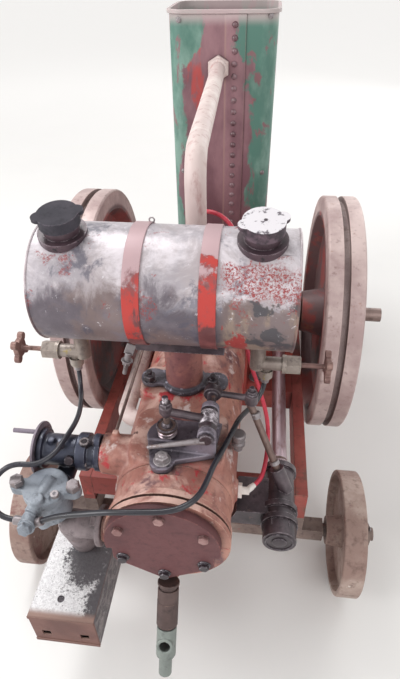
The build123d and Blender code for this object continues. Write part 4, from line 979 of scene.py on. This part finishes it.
AXLE_Y, PIN_X = 390, 342
pins = Piece("cotter_pins")
for y in (-AXLE_Y, AXLE_Y):
    for side in (-1, 1):
        x = side * PIN_X
        pins.wire([(x, y - 2, -221), (x, y - 2, -256), (x + side * 5, y - 3, -261)], 1.6, 8)
        pins.ring((x, y - 2, -219), RIGHT, 3.4, 1.4, 18, 8)
pins.done(nut_grey, "wheel_iron", bevel=0)
keys = Piece("flywheel_keys")
for x, side in ((312, 1), (-296, -1)):
    keys.beam((x - side * 4, 0, 22), (x + side * 14, 0, 22.6), 9, 8)
    keys.beam((x + side * 10, 0, 24), (x + side * 16, 0, 24), 9, 12)
keys.done(dark_rust, "flywheel_rim", "crank", bevel=0.0008)
case_bolts = Piece("crankcase_bolts")
for k in range(6):
    a = math.radians(60 * k + 15)
    case_bolts.bolt((54 * math.cos(a), 75 + 54 * math.sin(a), 110), UP, 13, 7, 0, 0, 0.3 * k)
for x in (-112, 112):
    for y in (-130, 10, 150):
        case_bolts.bolt((x, y, -92), UP, 19, 10, 14, 6, 0.2 + x)
for side in (-1, 1):
    for k in range(4):
        a = math.radians(45 + 90 * k)
        case_bolts.bolt((side * 95, 66 * math.cos(a), 66 * math.sin(a)), (side, 0, 0), 14, 7, 10)
case_bolts.done(nut_grey, "steel", bevel=0.0006)

# Camera, lights and floor

pitch, yaw, roll = (math.radians(a) for a in (CAMERA_PITCH, CAMERA_YAW, CAMERA_ROLL))
look = Vector((math.sin(yaw) * math.cos(pitch), math.cos(yaw) * math.cos(pitch), -math.sin(pitch)))
flat_right = Vector((math.cos(yaw), -math.sin(yaw), 0))
flat_up = flat_right.cross(look)
right = flat_right * math.cos(roll) + flat_up * math.sin(roll)
up = flat_up * math.cos(roll) - flat_right * math.sin(roll)
camera_data = bpy.data.cameras.new("photo_camera")
camera_data.sensor_fit = "VERTICAL"
camera_data.sensor_height = SENSOR_MM
camera_data.lens = SENSOR_MM * FOCAL_PX / PHOTO_HEIGHT_PX
camera_data.clip_start = 0.05
camera = add_object("photo_camera", camera_data)
turn = Matrix((right, up, -look)).transposed()
camera.matrix_world = Matrix.Translation(at(*CAMERA_AT)) @ turn.to_4x4()
bpy.context.scene.camera = camera


def lamp(name, place, aim, size, power):
    """A square lamp: places and size in metres, power in watts."""
    data = bpy.data.lights.new(name, "AREA")
    data.size = size
    data.energy = power
    turned = (Vector(aim) - Vector(place)).normalized().to_track_quat("-Z", "Y").to_matrix().to_4x4()
    add_object(name, data).matrix_world = Matrix.Translation(place) @ turned


MIDDLE = (0, -0.2, 0.4)
lamp("top_light", (-1.0, 0.7, 2.7), MIDDLE, 1.0, 32)
lamp("front_light", (1.6, -2.6, 1.9), MIDDLE, 2.2, 36)
lamp("side_light", (-2.4, -1.4, 1.6), MIDDLE, 1.6, 56)
lamp("back_light", (1.8, 2.8, 1.8), (0, 0.2, 0.4), 2.0, 36)

# The world lights the object at a plain level, and shows paler to the camera and in reflections
WORLD_LIGHT, WORLD_SEEN = 0.54, 0.88
world = bpy.data.worlds.new("studio")
bpy.context.scene.world = world
world.use_nodes = True
tree = world.node_tree
sky = tree.nodes["Background"]
sky.inputs["Color"].default_value = (1.0, 0.99, 0.98, 1)
path = tree.nodes.new("ShaderNodeLightPath")
seen = path.outputs["Is Camera Ray"]
for kind in ("Is Glossy Ray", "Is Transmission Ray"):
    either = tree.nodes.new("ShaderNodeMath")
    either.operation = "MAXIMUM"
    tree.links.new(seen, either.inputs[0])
    tree.links.new(path.outputs[kind], either.inputs[1])
    seen = either.outputs[0]
level = tree.nodes.new("ShaderNodeMapRange")
level.inputs["To Min"].default_value = WORLD_LIGHT
level.inputs["To Max"].default_value = WORLD_SEEN
tree.links.new(seen, level.inputs["Value"])
tree.links.new(level.outputs["Result"], sky.inputs["Strength"])
bpy.context.scene.view_settings.view_transform = "Standard"

FLOOR_REACH = 150
corners = [(x * FLOOR_REACH, y * FLOOR_REACH, 0) for x, y in ((-1, -1), (1, -1), (1, 1), (-1, 1))]
floor_mesh = bpy.data.meshes.new("floor")
floor_mesh.from_pydata(corners, [], [(0, 1, 2, 3)])
floor = add_object("floor", floor_mesh)
ground = Finish("floor")
ground.colour = ground.mix(ground.noise(3), (0.80, 0.79, 0.775, 1), (0.85, 0.84, 0.825, 1))
ground.done(0.8)
away = ground.length(ground.along("X"), ground.along("Y"))
ground.put(ground.shader.inputs["Emission Color"], (1, 0.99, 0.98, 1))
ground.put(ground.shader.inputs["Emission Strength"], ground.times(ground.step(away, 0.8, 4.5), 0.42))
floor_mesh.materials.append(ground.material)

# Round the CAD nodes' edges a little

for name, node in nodes.items():
    weld = node.modifiers.new("weld", "WELD")
    weld.merge_threshold = 0.00002
    if name in ("ignition_lead", "fuel_hose_left", "fuel_hose_right"):
        continue
    bevel = node.modifiers.new("bevel", "BEVEL")
    bevel.width = 0.0009
    bevel.segments = 2
    bevel.limit_method = "ANGLE"
    bevel.angle_limit = math.radians(35)
    normals = node.modifiers.new("normals", "WEIGHTED_NORMAL")
    normals.keep_sharp = False
